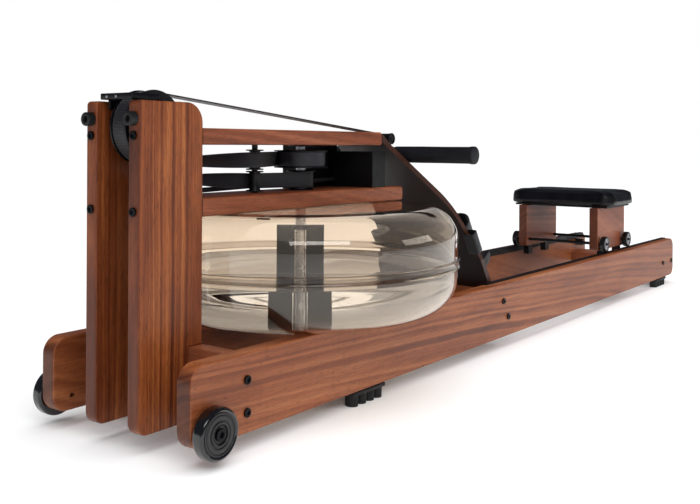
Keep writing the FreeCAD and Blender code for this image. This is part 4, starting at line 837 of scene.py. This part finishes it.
def webbing(name, route, width, thick, strips=6):
    """Webbing laid along a route of (place, direction of its width), with a map in metres."""
    places = [Vector(place) * MM for place, way in route]
    ways = [Vector(way).normalized() for place, way in route]
    reach = [0.0]
    for before, after in zip(places, places[1:]):
        reach.append(reach[-1] + (after - before).length)
    select_none()
    bpy.ops.mesh.primitive_grid_add(x_subdivisions=len(route) - 1, y_subdivisions=strips, size=2)
    piece = bpy.context.object
    piece.name = name
    mesh = piece.data
    stations = [round((point.co.x + 1) / 2 * (len(route) - 1)) for point in mesh.vertices]
    shares = [point.co.y / 2 for point in mesh.vertices]
    mesh.uv_layers[0].name = "cloth"
    for loop in mesh.loops:
        spot = (reach[stations[loop.vertex_index]], shares[loop.vertex_index] * width * MM)
        mesh.uv_layers[0].data[loop.index].uv = spot
    for point, station, share in zip(mesh.vertices, stations, shares):
        point.co = places[station] + ways[station] * share * width * MM
    modify(piece, "SOLIDIFY", thickness=thick * MM, offset=0)
    round_edges(piece, 0.35 * thick * MM, 2, 60)
    return piece


def bend(centre, radius, start, finish, steps, plane="XZ"):
    """Places round a bend from one angle to another, 90 degrees being up or to the far side."""
    places = []
    for step in range(steps + 1):
        angle = math.radians(start + (finish - start) * step / steps)
        across, up = radius * math.cos(angle), radius * math.sin(angle)
        if plane == "XZ":
            places.append((centre[0] + across, centre[1], centre[2] + up))
        else:
            places.append((centre[0] + across, centre[1] + up, centre[2]))
    return places


def straight(start, finish, steps):
    """Places evenly along a straight, without its two ends."""
    return [tuple(a + (b - a) * step / steps for a, b in zip(start, finish)) for step in range(1, steps)]


FLAT, UPRIGHT = (0, 1, 0), (0, 0, 1)
PULLEY = [value / MM for value in middle("front_pulley")]
PULLEY_RING = size("front_pulley").x / 2 / MM - PULLEY_FLANGE + STRAP_THICK / 2 + STRAP_PLAY / 2
REST = [middle("strap_roller").x / MM, 0.0, low("strap_roller").z / MM + 16.0]
REST_RING = size("strap_roller").x / 2 / MM + STRAP_THICK / 2 + 0.4
ROLLER_RING = ROLLER_SEAT + STRAP_THICK / 2 + STRAP_PLAY


def handle_webbing():
    """From the pulley's top down over the rest roller to the handle's clip."""
    eye = (low("handle_clip").x / MM + 0.6, 0.0, middle("handle_bar").z / MM + 9.0)
    fall = PULLEY[2] + PULLEY_RING - REST[2] - REST_RING
    slope = math.degrees(math.atan2(fall, REST[0] - PULLEY[0]))
    gap_x, gap_z = eye[0] - REST[0], eye[2] - REST[2]
    turn = math.degrees(-math.atan2(gap_z, gap_x) + math.asin(REST_RING / math.hypot(gap_x, gap_z)))
    lead = bend(PULLEY, PULLEY_RING, 96, 90 - slope, 3)
    over = bend(REST, REST_RING, 90 - slope, 90 - turn, 8)
    places = lead + straight(lead[-1], over[0], 40) + over + straight(over[-1], eye, 6) + [eye]
    strap = webbing("handle_webbing", [(place, FLAT) for place in places], STRAP_WIDE, STRAP_THICK)
    settle(strap, WEBBING, 50)
    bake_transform(strap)
    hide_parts("handle_strap")


def reel_webbing(name, node, reel, guide, wound, side, lap):
    """From its lap of a pulley, turning a quarter on the way, past the guide roller to its reel."""
    start = lap[-1]
    height = middle(reel).z / MM
    centre = (middle(guide).x / MM, 0.0, height)
    hub = (middle(reel).x / MM, 0.0, height)
    # the last turn lies 0.1 mm into the coil, so that no gap shows
    reel_ring = wound + STRAP_THICK / 2 - 0.1
    lead_in = -math.degrees(math.asin(ROLLER_RING / (centre[0] - start[0])))
    lead_out = math.degrees(math.asin((reel_ring + ROLLER_RING) / (hub[0] - centre[0])))
    ahead = 90 * side
    past = bend(centre, ROLLER_RING, -ahead + side * lead_in, -ahead + side * lead_out, 5, "XY")
    end = bend(hub, reel_ring, ahead + side * lead_out, ahead - side * 20, 6, "XY")
    steps = 24
    route = [(place, FLAT) for place in lap]
    for step, place in enumerate(straight(start, past[0], steps), 1):
        quarter = math.radians(90 * step / steps)
        route.append((place, (0, math.cos(quarter), math.sin(quarter))))
    route += [(place, UPRIGHT) for place in past + straight(past[-1], end[0], 8) + end]
    strap = settle(webbing(name, route, STRAP_WIDE, STRAP_THICK), WEBBING, 50)
    fit(strap, "frame", "webbing", node)


handle_webbing()
reel_webbing("drive_webbing", "drive_strap", "drive_reel", "upper_guide_roller", DRIVE_WOUND, 1,
             bend(PULLEY, PULLEY_RING, 95, 270, 30))
reel_webbing("recoil_webbing", "recoil_strap", "recoil_reel", "lower_guide_roller", RECOIL_WOUND, -1,
             bend([value / MM for value in middle("recoil_pulley")], ROLLER_RING, 120, 90, 3))


def bungee():
    """The braided elastic cord that pulls the strap home, taut from its roller to the block."""
    corner, far_corner = low("bungee_cord"), high("bungee_cord")
    radius = 4 * MM
    start = Vector((corner.x + radius * 0.05, corner.y + radius, corner.z + radius))
    finish = Vector((far_corner.x, far_corner.y - radius, far_corner.z - radius))
    select_none()
    bpy.ops.mesh.primitive_cylinder_add(vertices=24, radius=radius, depth=(finish - start).length,
                                        location=(start + finish) / 2)
    cord = bpy.context.object
    cord.name = "bungee"
    cord.rotation_euler = (finish - start).to_track_quat("Z", "Y").to_euler()
    round_edges(cord, 1.0 * MM, 2, 60)
    fit(settle(cord, BUNGEE_SLEEVE, 40), "frame", "cord_rubber", "bungee_cord")


bungee()


def rest_roller():
    """The strap's rest at the top of the footboard: a flanged tube on two feet."""
    corner, far_corner = low("strap_roller"), high("strap_roller")
    radius = size("strap_roller").x / 2 / MM
    half = size("strap_roller").y / 2 / MM
    end = [(0, half), (3.2, half), (3.8, half - 1.6), (radius - 3, half - 1.6), (radius - 2.4, half),
           (radius - 0.8, half), (radius, half - 0.8), (radius, half - 3.6), (radius - 0.9, half - 4.2)]
    outline = [(out, -along) for out, along in end] + end[::-1]
    centre = Vector((middle("strap_roller").x, 0, far_corner.z - radius * MM))
    pieces = [turned("rest_tube", outline, centre, BLACK_ABS, "+Y", steps=64)]
    for y in (-46 * MM, 46 * MM):
        plate = block("rest_foot", (centre.x - 5 * MM, y - 2 * MM, corner.z),
                      (centre.x + 5 * MM, y + 2 * MM, centre.z - 6 * MM), 0.6 * MM, 2)
        pieces.append(settle(plate, BLACK_ABS))
    fit(join("rest_roller", pieces), "frame", "black_plastic", "strap_roller")


rest_roller()


# ---------------------------------------------------------------- handle

def grips():
    """Dense foam sleeves with a flared end and a domed cap."""
    centre = middle("handle_bar")
    start = 23
    length = high("handle_grips").y / MM - start
    radius = 16.0
    outline = [(BAR_BORE, 0.2), (radius - 1.6, 0.2), *arc(radius - 1.6, 1.8, 1.6, -90, 0, 5),
               (radius + 0.3, length * 0.35), (radius, length * 0.6), (radius + 0.2, length - 14),
               (radius + 1.1, length - 9), *arc(radius - 0.9, length - 3.6, 2.0, 0, 70, 5),
               (radius - 3.4, length - 1.0), (radius - 6, length - 0.4), (0, length)]
    sleeves = []
    for out, direction in ((1, "+Y"), (-1, "-Y")):
        at = (centre.x, out * start * MM, centre.z)
        sleeves.append(turned("grip", outline, at, FOAM, direction, smooth=50, steps=72))
    fit(join("foam_grips", sleeves), "handle", "foam", "handle_grips")


def clip():
    """The clamp round the bar's middle, with a raised band at each end."""
    centre = middle("handle_clip")
    half = size("handle_clip").y / 2 / MM
    outline = [(BAR_BORE, -half), (14.2, -half), (15, -half + 0.8), (15, -half + 3), (13.8, -half + 3.8),
               (13.8, half - 3.8), (15, half - 3), (15, half - 0.8), (14.2, half), (BAR_BORE, half),
               (BAR_BORE, -half)]
    clamp = turned("strap_clip", outline, centre, BLACK_OXIDE, "+Y", smooth=35, steps=56)
    fit(clamp, "handle", "black_steel", "handle_clip")


grips()
clip()
finish_nodes(BLACK_OXIDE, "handle_bar")


# ---------------------------------------------------------------- footboard fittings

SLOPE = math.radians(57.5)
UP_BOARD = Vector((-math.cos(SLOPE), 0, math.sin(SLOPE)))
OFF_BOARD = Vector((math.sin(SLOPE), 0, math.cos(SLOPE)))
# the lower end of the board's face, and the board's thickness and half width there, in millimetres
FOOT_LOW = Vector((-94, 0, 80))
BOARD_THICK = 13.0
BOARD_HALF = 126.0


def on_board(along, across, off):
    """A place on the footboard in millimetres: up its slope, to the left side, off its face."""
    return tuple(FOOT_LOW + UP_BOARD * along + OFF_BOARD * off + Vector((0, across, 0)))


def foot_webbing(name, side):
    """A strap that lies on the board, arches over a foot, wraps the board's edge and turns under."""
    foot = side * 66.0
    span, rise = 34.0, 57.0
    width, thick = 50.0, 2.5
    along = 156 + width / 2
    rest = 1.8
    edge = side * (BOARD_HALF + 1.9)
    under = -BOARD_THICK - rest
    bows = 32
    flat_in = [on_board(along, foot - side * (span + 11 - step * 3), rest) for step in range(4)]
    arch = []
    for step in range(bows + 1):
        angle = math.pi * (1 - step / bows)
        lift = math.sin(angle)
        arch.append(on_board(along, foot + side * (span - 1.2) * math.cos(angle) * (1 + 0.04 * lift),
                             rest + (rise - rest) * lift ** 0.85))
    flat_out = [on_board(along, foot + side * (span + 2 + step * 5), rest) for step in range(4)]
    corner = [on_board(along, edge - side * 2.4, rest - 0.2), on_board(along, edge - side * 0.6, rest - 1.6),
              on_board(along, edge, rest - 4), on_board(along, edge, (rest + under) / 2),
              on_board(along, edge, under + 4), on_board(along, edge - side * 0.6, under + 1.6),
              on_board(along, edge - side * 2.4, under + 0.2)]
    back = [on_board(along, edge - side * (6 + step * 6), under) for step in range(4)]
    places = flat_in + arch + flat_out + corner + back
    strap = webbing(name, [(place, UP_BOARD) for place in places], width, thick, 8)
    return settle(strap, WEBBING, 50)


straps = [foot_webbing("foot_strap_%s" % side, out) for side, out in (("right", -1), ("left", 1))]
fit(join("foot_webbing", straps), "frame", "webbing", "foot_straps")


def softened(name, node, body, slot, material, width):
    """A frame node's own shape with its edges rounded, as it comes from the mould."""
    select_none()
    piece = copy(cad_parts[node], name)
    only(piece)
    bpy.ops.object.mode_set(mode="EDIT")
    bpy.ops.mesh.select_all(action="SELECT")
    bpy.ops.mesh.remove_doubles(threshold=0.01 * MM)
    bpy.ops.mesh.dissolve_limited(angle_limit=math.radians(3))
    bpy.ops.object.mode_set(mode="OBJECT")
    round_edges(piece, width * MM, 2, 40)
    fit(settle(piece, material, 40), body, slot, node)


for side in ("left", "right"):
    softened(side + "_heel_holder", side + "_heel_cup", side + "_heel_cup", "black_plastic", BLACK_ABS, 1.0)
softened("strap_keeper", "strap_guard", "frame", "black_steel", BLACK_ABS, 1.2)
finish_nodes(BLACK_ABS, "drive_cover")


def keeper_rivets():
    """Two bright eyelets on the front of the keeper's cross bar."""
    corner, far_corner = low("strap_guard"), high("strap_guard")
    rivets = []
    for y in (20.0, 0.0):
        outline = [(0, 0), (2.6, 0), (2.6, 0.3), *arc(1.2, 0.2, 1.3, 0, 80, 4), (0.9, 1.4), (0.7, 0.4),
                   (0, 0.4)]
        at = (corner.x + 0.2 * MM, y * MM, far_corner.z - 4.5 * MM)
        rivets.append(turned("rivet", outline, at, BRIGHT_STEEL, "-X", steps=24))
    fit(join("keeper_rivets", rivets), "frame", "steel")


keeper_rivets()


# ---------------------------------------------------------------- seat

def puff(pad, cap):
    """Fill a pad with air under its cover, letting no point travel farther than cap, in metres."""
    before = [point.co.copy() for point in pad.data.vertices]
    stapled = min(place.z for place in before) + 6 * MM
    only(pad)
    held = pad.vertex_groups.new(name="board")
    held.add([index for index, place in enumerate(before) if place.z < stapled], 1.0, "REPLACE")
    cover = pad.modifiers.new("cover", "CLOTH")
    cover.settings.use_pressure = True
    cover.settings.uniform_pressure_force = 4.0
    cover.settings.effector_weights.gravity = 0.0
    cover.settings.vertex_group_mass = "board"
    for number in range(1, 21):
        bpy.context.scene.frame_set(number)
    bpy.ops.object.modifier_apply(modifier=cover.name)
    bpy.context.scene.frame_set(1)
    for point, place in zip(pad.data.vertices, before):
        step = point.co - place
        if step.length > cap:
            point.co = place + step.normalized() * cap
    pad.vertex_groups.clear()


def seat_pad():
    """A vinyl pad pulled over foam: upright sides, a soft crown, rounded corners."""
    corner, far_corner = low("seat_cushion"), high("seat_cushion")
    swell = 3.5 * MM
    pad = block("seat_pad", corner + Vector((swell, swell, 0.6 * MM)),
                far_corner - Vector((swell, swell, swell)), 0)

    def upright(edge):
        start, end = [pad.data.vertices[index].co.z for index in edge.vertices]
        return abs(start - end) > 10 * MM

    pick(pad, "EDGE", upright)
    bpy.ops.mesh.bevel(offset=33 * MM, segments=10)
    bpy.ops.object.mode_set(mode="OBJECT")
    round_edges(pad, 6 * MM, 4, 50)
    modify(pad, "REMESH", mode="VOXEL", voxel_size=5 * MM)
    puff(pad, 5 * MM)
    modify(pad, "SMOOTH", factor=0.5, iterations=4)
    modify(pad, "SUBSURF", levels=1, render_levels=1)
    settle(pad, VINYL, 60)
    fit(pad, "seat", "seat_fabric", "seat_cushion")


seat_pad()


# ---------------------------------------------------------------- camera, floor and light

def camera():
    """Low and close to the tank's end, looking along the machine."""
    lens = bpy.data.cameras.new("camera")
    lens.sensor_width = 36
    lens.lens = 46.54
    lens.shift_x = -0.0053
    lens.shift_y = -0.1545
    lens.clip_start = 0.05
    lens.clip_end = 60
    eye = bpy.data.objects.new("camera", lens)
    aim = Euler((math.radians(90), 0, math.radians(-54.13))).to_matrix().to_4x4()
    roll = Matrix.Rotation(math.radians(0.32), 4, "Z")
    eye.matrix_world = Matrix.Translation((-1.8775, -1.0226, 0.4327)) @ aim @ roll
    bpy.context.scene.collection.objects.link(eye)
    bpy.context.scene.camera = eye


def surround():
    """A white room: bright to the eye and through the tank, dim on the work, dark in its gloss."""
    world = bpy.data.worlds.new("surround")
    bpy.context.scene.world = world
    world.use_nodes = True
    tree = world.node_tree
    tree.nodes.clear()
    ray = add(tree, "LightPath")
    straight_on = add(tree, "Math", {0: ray.outputs["Is Camera Ray"], 1: ray.outputs["Is Transmission Ray"]},
                      operation="MAXIMUM")
    seen = add(tree, "Background", {"Color": linear("#FFFFFF"), "Strength": 1.0})
    felt = add(tree, "Background", {"Color": linear("#F3F6FA"), "Strength": 0.42})
    mirrored = add(tree, "Background", {"Color": linear("#E8ECFF"), "Strength": 0.12})
    soft = add(tree, "MixShader", {0: ray.outputs["Is Glossy Ray"], 1: felt.outputs[0],
                                   2: mirrored.outputs[0]})
    both = add(tree, "MixShader", {0: straight_on.outputs[0], 1: soft.outputs[0], 2: seen.outputs[0]})
    add(tree, "OutputWorld", {"Surface": both.outputs[0]})


def studio():
    """A white sweep lit evenly from above, a long box over the tank's side and one beyond the seat."""
    select_none()
    bpy.ops.mesh.primitive_plane_add(size=60, location=(0, 0, 0))
    floor = bpy.context.object
    floor.name = "studio_floor"
    paper, tree, shader = new_material("white_paper_sweep", Roughness=0.95, Specular_IOR_Level=0.1)
    shader.inputs["Base Color"].default_value = linear("#FFFFFF")
    shader.inputs["Emission Color"].default_value = linear("#FFFFFF")
    shader.inputs["Emission Strength"].default_value = 0.03
    floor.data.materials.append(paper)
    overhead = bpy.data.lights.new("overhead", "SUN")
    overhead.energy = 2.1
    overhead.angle = math.radians(80)
    sky = bpy.data.objects.new("overhead", overhead)
    sky.rotation_euler = (math.radians(12), math.radians(-8), 0)
    sky.visible_glossy = False
    bpy.context.scene.collection.objects.link(sky)
    # name, place, width, height and power; only the key box shows in the gloss
    boxes = (("key_box", (-2.4, -2.45, 2.0), 2.4, 0.7, 30), ("side_box", (2.1, -3.2, 1.3), 2.2, 1.0, 40))
    for name, at, wide, tall, power in boxes:
        lamp = bpy.data.lights.new(name, "AREA")
        lamp.shape = "RECTANGLE"
        lamp.size = wide
        lamp.size_y = tall
        lamp.energy = power
        lamp_object = bpy.data.objects.new(name, lamp)
        lamp_object.location = at
        lamp_object.rotation_euler = (Vector((0, 0, 0.25)) - Vector(at)).to_track_quat("-Z", "Y").to_euler()
        lamp_object.visible_glossy = name == "key_box"
        bpy.context.scene.collection.objects.link(lamp_object)


camera()
surround()
studio()
bpy.context.scene.view_settings.view_transform = "Standard"
